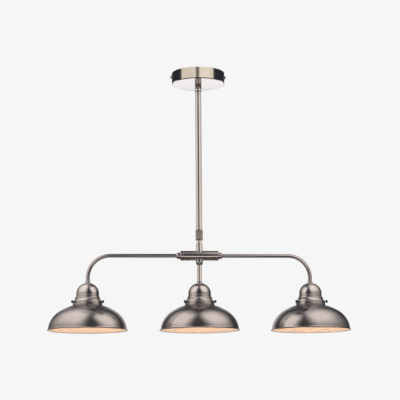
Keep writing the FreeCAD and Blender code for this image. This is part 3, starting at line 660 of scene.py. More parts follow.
def aging_group() -> bpy.types.NodeTree:
    """Builds the tone of aged metal: blotches, dark recesses and rubbed edges.

    The dark share is the larger of the blotches, a mottle of clouds and specks,
    and the wear where it is below nought: patina in recesses, and painted shade
    on the lamp shades. The rubbed share is the wear where it is above nought,
    less where the mottle is strong: rubbed edges, and a painted highlight along
    the lamp shades' lips.

    Returns:
        The group, with outputs Colour and Dullness.
    """
    wiring, given, result = new_group(
        "aged tone",
        {"Place": "Vector", "Wear": "Float", "Metal": "Color", "Aged": "Color",
         "Rubbed": "Color", "Blotches": "Float", "Recesses": "Float", "Edges": "Float"},
        {"Colour": "Color", "Dullness": "Float"})
    place, wear, maths = given["Place"], given["Wear"], wiring.maths
    cloud = wiring.noise(place, scale=26.0, detail=4.0, roughness=0.6)
    speck = wiring.noise(place, scale=210.0, detail=3.0, roughness=0.6)
    cloud = wiring.spread(cloud, low=0.38, high=0.72)
    speck = wiring.spread(speck, low=0.5, high=0.8)
    mottle = maths("ADD", maths("MULTIPLY", cloud, 0.75), maths("MULTIPLY", speck, 0.25))
    blotch = maths("MULTIPLY", mottle, given["Blotches"], clamp=True)
    # Wear below nought: patina in recesses, and painted shade on the lamp shades
    darkening = maths("MULTIPLY", wear, -1.0, clamp=True)
    darkening = maths("MULTIPLY", darkening, given["Recesses"], clamp=True)
    # Wear above nought: rubbed edges, and a painted highlight on the lamp shades' lips
    edge = maths("MULTIPLY", wear, given["Edges"], clamp=True)
    edge = maths("MULTIPLY", edge, wiring.spread(mottle, onto=(1.0, 0.45)))
    dark = maths("MAXIMUM", blotch, darkening)
    toned = wiring.blend(dark, given["Metal"], given["Aged"])
    wiring.fill(result, {"Colour": wiring.blend(edge, toned, given["Rubbed"]),
                         "Dullness": maths("SUBTRACT", dark, maths("MULTIPLY", edge, 0.5))})
    return wiring.tree


def skin_group() -> bpy.types.NodeTree:
    """Builds the skin of paint and moulded plastic: orange peel and faint clouds.

    Returns:
        The group, with outputs Height and Clouds from nought to one.
    """
    wiring, given, result = new_group(
        "moulded skin", {"Place": "Vector", "Peel": "Float", "Clouds": "Float"},
        {"Height": "Float", "Clouds": "Float"})
    peel = wiring.noise(given["Place"], given["Peel"], detail=2.0, roughness=0.5)
    cloud = wiring.noise(given["Place"], given["Clouds"], detail=3.0, roughness=0.55)
    wiring.fill(result, {"Height": peel, "Clouds": wiring.spread(cloud, low=0.35, high=0.7)})
    return wiring.tree


@dataclass(frozen=True)
class Groups:
    """The node groups that the finishes share."""

    grain: bpy.types.NodeTree
    aging: bpy.types.NodeTree
    skin: bpy.types.NodeTree

    @classmethod
    def built(cls) -> "Groups":
        """Builds each group once."""
        return cls(grain_group(), aging_group(), skin_group())


# Finishes


def new_material(name: str) -> tuple[bpy.types.Material, Wiring, bpy.types.Node]:
    """Starts a material.

    Args:
        name: its name.

    Returns:
        The material, its wiring and its surface shader.
    """
    material = bpy.data.materials.new(name)
    material.use_nodes = True
    tree = material.node_tree
    return material, Wiring(tree), tree.nodes["Principled BSDF"]


def opaque(colour: Colour) -> tuple[float, float, float, float]:
    """Returns a colour with full cover."""
    return (*colour, 1.0)


@dataclass(frozen=True)
class Metal:
    """A metal with lathe or brush lines, aged tone and worn edges."""

    name: str
    metal: Colour
    aged: Colour
    rubbed: Colour
    roughness: float
    pattern: Pattern = Pattern.TURNED
    lines: float = 2600.0
    waver: float = 18.0
    relief: float = 0.0000006
    line_tones: Pair = (0.93, 1.05)
    band_gloss: Pair = (-0.012, 0.012)
    blotches: float = 0.22
    recesses: float = 0.85
    edges: float = 0.6
    dulled: float = 0.16

    def made(self, groups: Groups) -> bpy.types.Material:
        """Makes the material.

        Args:
            groups: the shared node groups.

        Returns:
            The material.
        """
        material, wiring, shader = new_material(self.name)
        grain = wiring.add("ShaderNodeGroup", {
            "Place": wiring.place(self.pattern), "Lines": self.lines, "Waver": self.waver,
        }, node_tree=groups.grain).outputs
        tone = wiring.add("ShaderNodeGroup", {
            "Place": wiring.place(Pattern.SOLID), "Wear": wiring.layer(WEAR_LAYER, "Fac"),
            "Metal": opaque(self.metal), "Aged": opaque(self.aged),
            "Rubbed": opaque(self.rubbed), "Blotches": self.blotches,
            "Recesses": self.recesses, "Edges": self.edges,
        }, node_tree=groups.aging).outputs
        lines = wiring.spread(grain["Lines"], onto=self.line_tones)
        colour = wiring.add("ShaderNodeVectorMath", {0: tone["Colour"], "Scale": lines},
                            operation="SCALE")
        dull = wiring.maths("MULTIPLY", tone["Dullness"], self.dulled)
        band = wiring.spread(grain["Bands"], onto=self.band_gloss)
        rough = wiring.maths("ADD", wiring.maths("ADD", dull, band), self.roughness,
                             clamp=True)
        wiring.fill(shader, {
            "Base Color": colour.outputs[0], "Metallic": 1.0, "Roughness": rough,
            "Normal": wiring.bump(grain["Lines"], self.relief)})
        return material


@dataclass(frozen=True)
class Skin:
    """Paint or moulded plastic, with a fine peel and faint clouds."""

    name: str
    colour: Colour
    clouded: Colour
    roughness: float
    duller: float = 0.08
    peel: float = 900.0
    clouds: float = 30.0
    relief: float = 0.00003

    def made(self, groups: Groups) -> bpy.types.Material:
        """Makes the material.

        Args:
            groups: the shared node groups.

        Returns:
            The material.
        """
        material, wiring, shader = new_material(self.name)
        skin = wiring.add("ShaderNodeGroup", {
            "Place": wiring.place(Pattern.SOLID), "Peel": self.peel, "Clouds": self.clouds,
        }, node_tree=groups.skin).outputs
        colour = wiring.blend(skin["Clouds"], opaque(self.colour), opaque(self.clouded))
        rough = wiring.spread(skin["Clouds"],
                              onto=(self.roughness, self.roughness + self.duller))
        wiring.fill(shader, {"Base Color": colour, "Roughness": rough,
                             "Normal": wiring.bump(skin["Height"], self.relief)})
        return material


@dataclass(frozen=True)
class LitGlass:
    """Frosted bulb glass with the warm glow of its lamp behind it."""

    name: str
    colour: Colour
    glow: Colour
    ember: Colour
    strength: float
    neck_level: float
    globe_level: float
    frost: float = 0.12
    roughness: Pair = (0.34, 0.42)
    peel: float = 1500.0
    clouds: float = 60.0
    relief: float = 0.00002

    def made(self, groups: Groups) -> bpy.types.Material:
        """Makes the material, brightest round the globe and dimmer up the neck.

        Args:
            groups: the shared node groups.

        Returns:
            The material.
        """
        material, wiring, shader = new_material(self.name)
        place = wiring.place(Pattern.SOLID)
        skin = wiring.add("ShaderNodeGroup", {
            "Place": place, "Peel": self.peel, "Clouds": self.clouds,
        }, node_tree=groups.skin).outputs
        height = wiring.add("ShaderNodeSeparateXYZ", {0: place}).outputs["Z"]
        warm = wiring.spread(height, self.globe_level * MM, self.neck_level * MM)
        frost = wiring.maths("MULTIPLY", skin["Clouds"], self.frost)
        share = wiring.maths("ADD", warm, frost, clamp=True)
        wiring.fill(shader, {
            "Base Color": opaque(self.colour),
            "Emission Color": wiring.blend(share, opaque(self.glow), opaque(self.ember)),
            "Emission Strength": self.strength,
            "Roughness": wiring.spread(skin["Clouds"], onto=self.roughness),
            "Normal": wiring.bump(skin["Height"], self.relief)})
        return material


@dataclass(frozen=True)
class Finishes:
    """Every material of the light."""

    nickel: bpy.types.Material
    darker_nickel: bpy.types.Material
    bright: bpy.types.Material
    shade: bpy.types.Material
    lining: bpy.types.Material
    zinc: bpy.types.Material
    black: bpy.types.Material
    brass: bpy.types.Material
    nylon: bpy.types.Material
    plastic: bpy.types.Material
    glass: bpy.types.Material
    cap: bpy.types.Material

    @classmethod
    def made(cls, groups: Groups) -> "Finishes":
        """Makes each material once.

        Args:
            groups: the shared node groups.

        Returns:
            The materials.
        """
        metal, rubbed = (0.525, 0.45, 0.405), (0.66, 0.60, 0.56)
        globe_middle = level("bulb_glass_middle", top=False) + Lamp.globe_radius
        recipes = dict(
            nickel=Metal("antique nickel", metal, (0.27, 0.235, 0.22), rubbed, 0.12),
            # A darker copy of the nickel, for the knurled collar
            darker_nickel=Metal("darkened nickel", (0.26, 0.225, 0.205), (0.13, 0.11, 0.10),
                         (0.42, 0.37, 0.34), 0.2, lines=1900.0),
            # A brighter copy of the nickel for the nut, dome and gallery: painted highlight
            bright=Metal("bright antique nickel", (0.64, 0.55, 0.495), (0.30, 0.26, 0.24),
                         (0.74, 0.67, 0.62), 0.12, blotches=0.16),
            # The darker aged colour, full recesses and stronger dulling deepen the painted
            # shade at the crown and rim
            shade=Metal("spun antique nickel", metal, (0.20, 0.175, 0.165), rubbed, 0.17,
                        lines=1900.0, blotches=0.16, recesses=1.0, dulled=0.26),
            lining=Skin("warm white lining", (0.86, 0.82, 0.76), (0.82, 0.78, 0.71), 0.42),
            zinc=Metal("zinc plate", (0.66, 0.67, 0.68), (0.42, 0.42, 0.40),
                       (0.78, 0.78, 0.78), 0.34, Pattern.SOLID, lines=300.0, waver=300.0),
            # Black oxide for the grub screws; on the thumb screws, which are nickel, it is
            # painted shade
            black=Metal("black oxide", (0.10, 0.10, 0.11), (0.05, 0.05, 0.05),
                        (0.30, 0.30, 0.30), 0.36),
            brass=Metal("turned brass", (0.80, 0.62, 0.32), (0.45, 0.32, 0.16),
                        (0.88, 0.74, 0.45), 0.24, Pattern.SOLID),
            nylon=Skin("moulded nylon", (0.78, 0.76, 0.71), (0.72, 0.70, 0.64), 0.4,
                       peel=500.0),
            plastic=Skin("lampholder plastic", (0.035, 0.035, 0.036), (0.05, 0.05, 0.05), 0.3,
                         peel=1200.0),
            glass=LitGlass("lit frosted glass", (0.92, 0.89, 0.84), (1.0, 0.57, 0.31),
                           (1.0, 0.46, 0.22), 15.5, level("bulb_glass_middle"), globe_middle),
            cap=Metal("pressed aluminium", (0.78, 0.78, 0.78), (0.5, 0.5, 0.49),
                      (0.86, 0.86, 0.86), 0.26, lines=1200.0),
        )
        return cls(**{name: recipe.made(groups) for name, recipe in recipes.items()})


# Sub-assemblies


@dataclass
class Assembly:
    """What every sub-assembly has: the finishes, and a way to make a piece."""

    finishes: Finishes

    def make(self, name: str, node: str, surface: Surface, *dress: bpy.types.Material,
             body: str = Body.BAR.value, slot: Slot = Slot.METAL) -> None:
        """Makes a piece that stands for a CAD node and rides on its body.

        Args:
            name: the piece's name.
            node: the CAD node that it stands for.
            surface: its shape, in place.
            dress: its materials, in the order of the surface's zones, where it
                isn't plain nickel.
            body: the CAD body that it rides on.
            slot: the record's material slot; not used.
        """
        mesh = bpy.data.meshes.new(name)
        mesh.from_pydata(surface.points.tolist(), [], surface.faces)
        mesh.polygons.foreach_set("use_smooth", np.ones(len(surface.faces), bool))
        for finish in dress or (self.finishes.nickel,):
            mesh.materials.append(finish)
        mesh.polygons.foreach_set("material_index", surface.zones.astype(np.int32))
        add_layer(mesh, WEAR_LAYER, "FLOAT", surface.wear)
        add_layer(mesh, GRAIN_LAYER, "FLOAT_VECTOR", surface.grain)
        mesh.update()
        piece = linked(name, mesh)
        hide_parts(node)
        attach(piece, body)
        LOG.info("%s: %d faces", name, len(surface.faces))


@dataclass
class Fittings(Assembly):
    """The CAD nodes at the cup and in the stem that keep their own shape."""

    def build(self) -> None:
        """Gives each node its material."""
        made = self.finishes
        chosen = {
            "cup_screws": made.nickel, "ceiling_bracket": made.zinc,
            "terminal_block": made.nylon, "top_nipple": made.zinc, "nipple_washer": made.zinc,
            "nipple_nut": made.zinc, "collet": made.brass, "glide_bush": made.nylon,
        }
        for node, material in chosen.items():
            mesh = frame["nodes"][node].data
            mesh.materials.clear()
            mesh.materials.append(material)
            LOG.info("%s: dressed in %s", node, material.name)


@dataclass
class Canopy(Assembly):
    """The cup at the ceiling with its coupler and bush."""

    radius: float = 80.0
    height: float = 35.0
    sheet: float = 1.2
    bend: float = 3.0
    hole: float = 5.05
    coupler_radius: float = 10.0
    coupler_length: float = 22.5
    coupler_round: float = 2.5
    coupler_gap: float = 0.02
    ring_radius: float = 8.7
    ring_height: float = 7.8
    ring_chamfer: float = 1.2
    bush_bore: float = 3.5
    plug_radius: float = 7.8
    plug_length: float = 15.0
    spigot_radius: float = 6.5
    spigot_height: float = 9.0

    def cup(self) -> Surface:
        """Builds the spun cup, a flat floor with a bend up to its wall.

        Returns:
            The cup, with nought at its open rim.
        """
        outer, inner, bend = self.radius, self.radius - self.sheet, self.bend
        floor, over = -self.height, self.sheet - self.height
        return lathed([
            (self.hole, floor), (outer - bend, floor), (outer, bend + floor, bend, Side.LEFT),
            (outer, 0.0), (inner, 0.0), (inner, bend + floor),
            (outer - bend, over, bend - self.sheet, Side.RIGHT), (self.hole, over),
        ], around=256, rounding=0.35)

    def coupler(self) -> Surface:
        """Builds the coupler under the cup, its lower edge a quarter of a circle.

        Returns:
            The coupler, with nought at the cup's underside.
        """
        outer, edge, foot = self.coupler_radius, self.coupler_round, -self.coupler_length
        return lathed([
            (self.hole, foot), (outer - edge, foot), (outer, edge + foot, edge, Side.LEFT),
            (outer, -self.coupler_gap), (self.hole, -self.coupler_gap),
        ])

    def bush(self) -> Surface:
        """Builds the bush: a ring between the coupler and the tube, and a plug in each.

        Returns:
            The bush, with nought at the coupler's lower end.
        """
        ring, edge, foot = self.ring_radius, self.ring_chamfer, -self.ring_height
        bore, plug, spigot = self.bush_bore, self.plug_radius, self.spigot_radius
        return lathed([
            (bore, foot - self.plug_length), (plug, foot - self.plug_length), (plug, foot),
            (ring - edge / 2, foot), (ring, edge / 2 + foot), (ring, -edge),
            (ring - edge, 0.0), (spigot, 0.0), (spigot, self.spigot_height),
            (bore, self.spigot_height),
        ])

    def build(self) -> None:
        """Makes the pieces."""
        mount = Body.MOUNT.value
        self.make("spun_cup", "ceiling_cup", self.cup(), body=mount)
        coupler = lifted(self.coupler(), -self.height)
        self.make("cup_coupler", "top_coupler", coupler, body=mount)
        bush = lifted(self.bush(), level("top_coupler", top=False))
        self.make("cup_bush", "tube_bush", bush, body=mount)


@dataclass
class Stem(Assembly):
    """The telescopic tubes with the clamp collar and the lower coupler."""

    outer_radius: float = 9.0
    outer_wall: float = 1.2
    inner_radius: float = 7.0
    inner_wall: float = 1.0
    collar_radius: float = 10.9
    collar_length: float = 31.5
    collar_chamfer: float = 1.4
    collar_bore: float = 7.3
    collar_floor: float = 3.0
    collar_mouth: float = 9.06
    taper_top: float = 16.3
    taper_foot: Pair = (8.15, 6.3)
    knurls: int = 30
    knurl_depth: float = 0.5
    knurl_margin: float = 2.6
    knurl_fade: float = 0.5
    coupler_radius: float = 9.5
    coupler_shown: float = 22.5
    coupler_seat: float = 4.3
    coupler_bore: float = 5.0
    coupler_chamfer: float = 0.8
    socket_depth: float = 10.0
    foot_radius: float = 10.5
    foot_height: float = 2.4
    foot_flare: float = 3.0

    def collar(self) -> Surface:
        """Builds the knurled nut that closes the stem's collet, with the collet's taper.

        Returns:
            The collar, with nought at its foot.
        """
        outer, length, edge = self.collar_radius, self.collar_length, self.collar_chamfer
        bore, floor, mouth = self.collar_bore, self.collar_floor, self.collar_mouth
        low, high, fade = self.knurl_margin, length - self.knurl_margin, self.knurl_fade
        ribs = Ribs(self.knurls, self.knurl_depth, 4, outer - 0.2, low, high, fade)
        return lathed([
            (bore, 0.0), (outer - edge, 0.0), (outer, edge), (outer, low), (outer, low + fade),
            (outer, high - fade), (outer, high), (outer, length - edge / 2),
            (outer - edge / 2, length), (mouth, length), (mouth, self.taper_top),
            self.taper_foot, (self.taper_foot[0], floor), (bore, floor),
        ], self.knurls * 10, ribs)

    def coupler(self) -> Surface:
        """Builds the coupler that carries the hub, flared at its foot by an arc.

        Returns:
            The coupler, with nought at its top.
        """
        outer, foot, edge = self.coupler_radius, -self.coupler_shown, self.coupler_chamfer
        bore, socket, seat = self.coupler_bore, self.inner_radius, foot - self.coupler_seat
        return lathed([
            (bore, seat), (self.foot_radius, seat), (self.foot_radius, foot),
            (outer, self.foot_height + foot, self.foot_flare, Side.RIGHT), (outer, -edge),
            (outer - edge, 0.0), (socket, 0.0), (socket, -self.socket_depth),
            (bore, -self.socket_depth),
        ])

    def build(self) -> None:
        """Makes the stem's pieces from the top down."""
        outer = tube_for("outer_tube", self.outer_radius, self.outer_wall)
        self.make("stem_outer_tube", "outer_tube", outer, body=Body.MOUNT.value)
        collar = lifted(self.collar(), level("clamp_collar", top=False))
        self.make("knurled_collar", "clamp_collar", collar, self.finishes.darker_nickel,
                  body=Body.COLLAR.value)
        inner = tube_for("inner_tube", self.inner_radius, self.inner_wall)
        self.make("stem_inner_tube", "inner_tube", inner)
        self.make("hub_coupler", "stem_coupler", lifted(self.coupler(), level("stem_coupler")))


@dataclass
class Hub(Assembly):
    """The bar in the middle with its ends, ferrule, arms and drop tube."""

    radius: float = 14.75
    bore: float = 6.0
    half_length: float = 57.0
    end_width: float = 9.0
    end_radius: float = 15.1
    end_bore: float = 4.5
    end_chamfer: float = 1.5
    end_edge: float = 0.5
    collar_radius: float = 10.0
    collar_length: float = 11.5
    collar_root: float = 0.6
    nose_radius: float = 7.0
    nose_length: float = 4.0
    grub_place: float = 4.2
    grub_radius: float = 1.9
    grub_foot: float = 6.0
    grub_face: float = 10.1
    socket_radius: float = 1.1
    socket_floor: float = 8.6
    arm_radius: float = 5.75
    arm_start: float = 45.0
    bend_radius: float = 65.0
    lamp_spacing: float = 332.0
    arm_foot: float = -80.8
    ferrule_radius: float = 10.4
    ferrule_straight: float = 3.0
    ferrule_length: float = 13.2
    ferrule_round: float = 14.0
    ferrule_bores: Pair = (3.5, 5.0)
    ferrule_seat: float = 4.3
    ferrule_lip: float = 0.4
    tube_radius: float = 7.0
    tube_wall: float = 1.0
    tube_seat: float = -1.5

    @property
    def axis(self) -> float:
        """The height of the hub's own axis."""
        return (level("hub") + level("hub", top=False)) / 2

    def along(self, surface: Surface, sign: int = 1) -> Surface:
        """Returns a surface with its turning axis laid along the bar."""
        laid = Matrix.Rotation(sign * QUARTER, 4, "Y")
        return placed(surface, Matrix.Translation((0, 0, self.axis * MM)) @ laid)

    def bar(self) -> Surface:
        """Builds the round bar between the two ends.

        Returns:
            The bar, in place.
        """
        half = self.half_length - self.end_width
        return self.along(lathed([
            (self.bore, -half), (self.radius, -half), (self.radius, half), (self.bore, half),
        ], around=128, rounding=0.3))

    def end(self, sign: int) -> Surface:
        """Builds an end piece with the stepped collar that holds an arm.

        Args:
            sign: 1 for the right end, -1 for the left.

        Returns:
            The end piece, in place.
        """
        face, tip = self.half_length, self.half_length + self.collar_length
        seat, edge, outer = face - self.end_width, self.end_edge, self.end_radius
        collar, chamfer = self.collar_radius, self.end_chamfer
        return self.along(lathed([
            (self.end_bore, seat), (outer - edge, seat), (outer, seat + edge),
            (outer, face - chamfer), (outer - chamfer, face), (collar + edge, face),
            (collar, face + self.collar_root), (collar, tip - self.nose_length),
            (self.nose_radius, tip), (self.arm_radius, tip), (self.arm_radius, self.arm_start),
            (self.end_bore, self.arm_start),
        ], around=128, rounding=0.3), sign)

    def grub_screw(self, sign: int) -> Surface:
        """Builds the head of a screw in an arm's collar, with its socket.

        Args:
            sign: 1 for the right collar, -1 for the left.

        Returns:
            The screw, in place, facing the viewer.
        """
        outer, face, socket = self.grub_radius, self.grub_face, self.socket_radius
        screw = lathed([
            (0.0, self.grub_foot), (outer, self.grub_foot), (outer, face - 0.08),
            (outer - 0.35, face), (socket, face), (socket - 0.1, self.socket_floor),
            (0.0, self.socket_floor),
        ], around=36, closed=False, rounding=0.1)
        x = sign * (self.half_length + self.grub_place)
        place = Matrix.Translation((x * MM, 0, self.axis * MM))
        return placed(screw, place @ Matrix.Rotation(QUARTER, 4, "X"))

    def arm(self, sign: int) -> Surface:
        """Builds an arm: level from the hub, then bent down to its lamp.

        The path is a straight run, a quarter of a circle about a centre below
        it, and a straight drop. A ring lies square to the path everywhere, and
        the first and the last one shrink to a point.

        Args:
            sign: 1 for the right arm, -1 for the left.

        Returns:
            The arm, in place.
        """
        bend, bend_start = self.bend_radius, self.lamp_spacing - self.bend_radius
        level_run = np.linspace(self.arm_start, bend_start, 24)
        angles = np.linspace(0, QUARTER, 40)[1:]
        drop_run = np.linspace(-bend, self.arm_foot, 8)[1:]
        x = np.concatenate([level_run, bend_start + bend * np.sin(angles),
                            0 * drop_run + self.lamp_spacing])
        z = np.concatenate([0 * level_run, bend * (np.cos(angles) - 1), drop_run])
        slope = np.concatenate([0 * level_run, angles, 0 * drop_run + QUARTER])
        x, z, slope = (np.pad(row, 1, mode="edge") for row in (x, z, slope))
        way = np.stack([sign * np.cos(slope), 0 * slope, -np.sin(slope)], axis=1)
        aside = np.broadcast_to(np.array([0, 1.0, 0]), way.shape)
        centre = np.stack([sign * x, 0 * x, self.axis + z], axis=1)
        radius = np.full((len(x), 72), self.arm_radius)
        radius[[0, -1]] = 0
        path = Outline(np.stack([x, z], axis=1), 0 * x, closed=False)
        return swept(centre, np.cross(aside, way), aside, radius, path, travelled(centre))

    def ferrule(self) -> Surface:
        """Builds the ferrule, its shoulder one arc down to the drop tube.

        Returns:
            The ferrule, with nought at the hub's underside.
        """
        outer, tube, (bore, step) = self.ferrule_radius, self.tube_radius, self.ferrule_bores
        top, foot, seat = self.ferrule_seat, -self.ferrule_length, self.tube_seat
        return lathed([
            (bore, seat), (tube, seat), (tube, foot), (tube + self.ferrule_lip, foot),
            (outer, -self.ferrule_straight, self.ferrule_round, Side.LEFT), (outer, top),
            (step, top), (bore, top),
        ])

    def build(self) -> None:
        """Makes the hub, the arms, the ferrule and the drop tube."""
        self.make("hub_bar", "hub", self.bar())
        for side, sign in (("left", -1), ("right", 1)):
            self.make(f"hub_cap_{side}", f"hub_end_{side}", self.end(sign))
            self.make(f"grub_screw_{side}", "arm_grub_screws", self.grub_screw(sign),
                      self.finishes.black, slot=Slot.STEEL)
            self.make(f"bent_arm_{side}", f"arm_{side}", self.arm(sign))
        under = self.axis - self.radius
        self.make("hub_ferrule", "drop_ferrule", lifted(self.ferrule(), under))
        tube = tube_for("drop_tube", self.tube_radius, self.tube_wall)
        self.make("middle_drop_tube", "drop_tube", tube)


@dataclass
class Lamp(Assembly):
    """One lamp: nut, dome, gallery, thumb screws, shade, lampholder and bulb."""

    name: str
    x: float
    arm_hole: float = 5.75
    tube_hole: float = 5.0
    nut_radius: float = 7.3
    nut_height: float = 6.3
    nut_edge: float = 0.6
    nut_floor: float = 1.5
    nipple_radii: Pair = (3.5, 5.0)
    nipple_depth: float = 9.2
    dome_hole: float = 5.05
    dome_radius: float = 34.0
    dome_crown: float = 40.0
    dome_shoulder: float = 31.5
    dome_height: float = 38.5
    dome_sheet: float = 1.2
    rim_radius: float = 34.3
    rim_back: float = 0.3
    rim_height: float = 1.5
    rim_roll: float = 0.9
    gallery_hole: float = 14.25
    gallery_height: float = 28.5
    gallery_neck: Pair = (34.2, -3.6)
    gallery_wall: float = 2.4
    ledge_radius: float = 37.3
    ledge_span: Pair = (-7.4, -4.2)
    ledge_round: float = 4.0
    waist: Pair = (37.05, -7.6)
    inner_waist_level: float = -5.6
    cove_level: float = -13.6
    cove_round: float = 24.0
    band_radius: float = 41.9
    band_foot_radius: float = 42.7
    band_round: float = 60.0
    flange_radius: float = 44.6
    flange_height: float = 8.6
    flange_draft: float = 0.4
    flange_slope: float = 1.0
    crown_gap: float = 0.15
    groove_depth: float = 0.5
    groove_width: float = 0.8
    groove_rise: float = 0.8
    bore_radius: float = 40.4
    boss_radii: Pair = (2.06, 3.6)
    boss_span: Pair = (41.2, 43.6)
    screw_count: int = 3
    screw_rise: float = 10.0
    screw_foot: float = 38.3
    screw_radii: tuple[float, float, float] = (1.4, 2.0, 3.0)
    screw_shoulder: float = 49.8
    screw_reach: float = 54.0
    head_radius: float = 4.4
    head_length: float = 3.0
    head_chamfer: float = 0.6
    head_dish: float = 0.4
    dish_radii: Pair = (2.8, 2.2)
    head_ribs: int = 28
    rib_depth: float = 0.3
    shade_radius: float = 120.0
    shade_height: float = 74.0
    shade_sheet: float = 1.0
    crown_radius: float = 163.2
    shoulder_radius: float = 71.0
    wall_radius: float = 117.0
    lip_height: float = 5.0
    lip_radius: float = 7.0
    rim_insets: Pair = (0.27, 0.17)
    neck_radius: float = 38.0
    neck_height: float = 14.0
    neck_bead: Pair = (1.4, 1.6)
    # Painted shade round the gallery and at the rim, and a painted highlight along the lip, all
    # kept in the wear
    crown_painted_shade: Pair = (60.0, 28.0)
    rim_painted_shade: tuple[float, float, float] = (1.2, 2.7, 1.4)
    lip_painted_highlight: tuple[float, float, float] = (0.8, 5.4, 1.1)
    mouth_drop: float = 14.5
    mouth_radii: Pair = (7.3, 13.8)
    holder_radius: float = 14.2
    holder_top: float = 37.3
    holder_shoulder: float = 30.3
    holder_chamfer: float = 0.6
    holder_seam: float = -9.6
    holder_crown: Pair = (6.0, 9.0)
    holder_well: tuple[float, float, float] = (2.8, 11.0, 12.0)
    flange: Pair = (16.2, 2.0)
    ring_radius: float = 18.5
    ring_span: Pair = (-7.6, -1.6)
    cap_radius: float = 7.0
    cap_height: float = 19.6
    cap_edge: float = 0.2
    contact_radii: Pair = (2.5, 1.9)
    contact_heights: tuple[float, float, float] = (3.0, 3.8, 4.4)
    thread_step: float = 0.35
    thread_pitch: float = 2.8
    thread_depth: float = 0.22
    thread_span: Pair = (1.0, 18.5)
    thread_fade: float = 1.5
    globe_radius: float = 22.5
    globe_level: float = -30.5
    globe_neck: float = 10.2
    neck_hollow: float = 26.0
    neck_angle: float = 50.0
    glass_foot: Pair = (9.5, -1.6)

    @property
    def dome_base(self) -> float:
        """The height of the dome's rim."""
        return level(f"dome_{self.name}", top=False)

    @property
    def gallery_base(self) -> float:
        """The height of the gallery's foot."""
        return self.dome_base - self.gallery_height

    @property
    def shade_bell(self) -> Bell:
        """The shade's crown and shoulder, with nought at the gallery's foot."""
        return Bell(self.crown_radius, self.shoulder_radius, self.wall_radius,
                    self.flange_radius)

    def nut(self) -> Surface:
        """Builds the turned nut on top of the dome, with its threaded nipple.

        Returns:
            The nut, with nought at the dome's top.
        """
        outer, height, edge = self.nut_radius, self.nut_height, self.nut_edge
        hole = self.tube_hole if self.name == "middle" else self.arm_hole
        (bore, nipple), foot, floor = self.nipple_radii, -self.nipple_depth, self.nut_floor
        return lathed([
            (bore, foot), (nipple, foot), (nipple, 0.0), (outer, 0.0), (outer, height - edge),
            (outer - edge, height), (hole, height), (hole, floor), (bore, floor),
        ], around=72)

    def dome(self) -> Surface:
        """Builds the spun dome, flat under its nut, with a small rolled rim.

        Outside it is a bell: a crown arc that runs into a shoulder arc, which
        stands upright at its centre's height. Inside it is one arc with the
        inner radius, and the rim is two short arcs.

        Returns:
            The dome, with nought at its top.
        """
        radius, sheet, foot = self.dome_radius, self.dome_sheet, -self.dome_height
        rim, back, roll, hole = self.rim_radius, self.rim_back, self.rim_roll, self.dome_hole
        bell = Bell(self.dome_crown, self.dome_shoulder, radius, self.nut_radius)
        inside = radius - sheet
        centre = -math.sqrt(radius ** 2 - self.nut_radius ** 2)
        inner_flat = math.sqrt(inside ** 2 - (centre + sheet) ** 2)
        return lathed([
            (hole, -sheet), (inner_flat, -sheet), (inside, centre, inside, Side.RIGHT),
            (inside, foot), (rim - back, foot),
            (rim, foot + self.rim_height / 2, roll, Side.LEFT),
            (rim - back, foot + self.rim_height, roll, Side.LEFT),
            (radius, foot + self.rim_height + 0.1), (radius, bell.floor + bell.lift),
            (*bell.meeting(), bell.shoulder, Side.LEFT),
            (self.nut_radius, 0.0, bell.crown, Side.LEFT), (hole, 0.0),
        ], around=160, rounding=0.2, step=1.2)

    def gallery(self) -> Surface:
        """Builds the gallery with the three bosses for its screws.

        From the top down its outside is a straight neck, a low rounded ledge, a
        hollow cove, a band that swells by a wide arc, and a foot flange, with a
        fine groove above it. The crown of the shade meets the end of the bore.

        Returns:
            The gallery, in place.
        """
        foot, cove, flange = -self.gallery_height, self.cove_level, self.flange_radius
        hole, bore, under = self.gallery_hole, self.bore_radius, self.ring_span[1]
        (waist, waist_level), (neck, neck_level) = self.waist, self.gallery_neck
        inner, top = waist - self.gallery_wall, foot + self.flange_height
        cove_round, crown = self.cove_round, self.shade_bell.crown_height(bore) + foot
        outline = trace([
            (hole, under), (inner, under), (inner, self.inner_waist_level),
            (bore, cove, cove_round, Side.LEFT), (bore, crown + self.crown_gap),
            (flange - self.flange_draft, foot), (flange, top),
            (self.band_foot_radius, top + self.flange_slope),
            (self.band_radius, cove, self.band_round, Side.LEFT),
            (waist, waist_level, cove_round, Side.RIGHT),
            (self.ledge_radius, self.ledge_span[0]),
            (self.ledge_radius, self.ledge_span[1], self.ledge_round, Side.LEFT),
            (neck, neck_level), (neck, 0.0), (hole, 0.0),
        ], rounding=0.3, step=0.8)
        ring = turned(self.grooved(outline, top + self.groove_rise), around=192)
        (inside, outer), (start, end) = self.boss_radii, self.boss_span
        boss = lathed([(inside, start), (outer, start), (outer, end), (inside, end)], around=40)
        bosses = [placed(boss, self.radial(number)) for number in range(self.screw_count)]
        return joined([lifted(ring, self.dome_base, self.x), *bosses])

    def grooved(self, outline: Outline, height: float) -> Outline:
        """Cuts a fine dirty groove round the outside of the gallery.

        The cut at height h is the depth times exp(-((h - height) / width)^2).

        Args:
            outline: the gallery's profile.
            height: the groove's height.

        Returns:
            The profile with its groove.
        """
        radius, up = outline.points.T
        cut = (radius > self.bore_radius) * np.exp(-((up - height) / self.groove_width) ** 2)
        points = np.stack([radius - self.groove_depth * cut, up], axis=1)
        return Outline(points, np.clip(outline.wear - cut, -1, 1), outline.closed)

    def radial(self, number: int) -> Matrix:
        """Works out the place of a thumb screw's axis, pointing away from the lamp.

        Args:
            number: which of the screws it is, from nought.

        Returns:
            The place, in metres.
        """
        angle = QUARTER + number * TAU / self.screw_count
        height = self.gallery_base + self.screw_rise
        outward = Matrix.Rotation(angle, 4, "Z") @ Matrix.Rotation(QUARTER, 4, "Y")
        return Matrix.Translation((self.x * MM, 0, height * MM)) @ outward

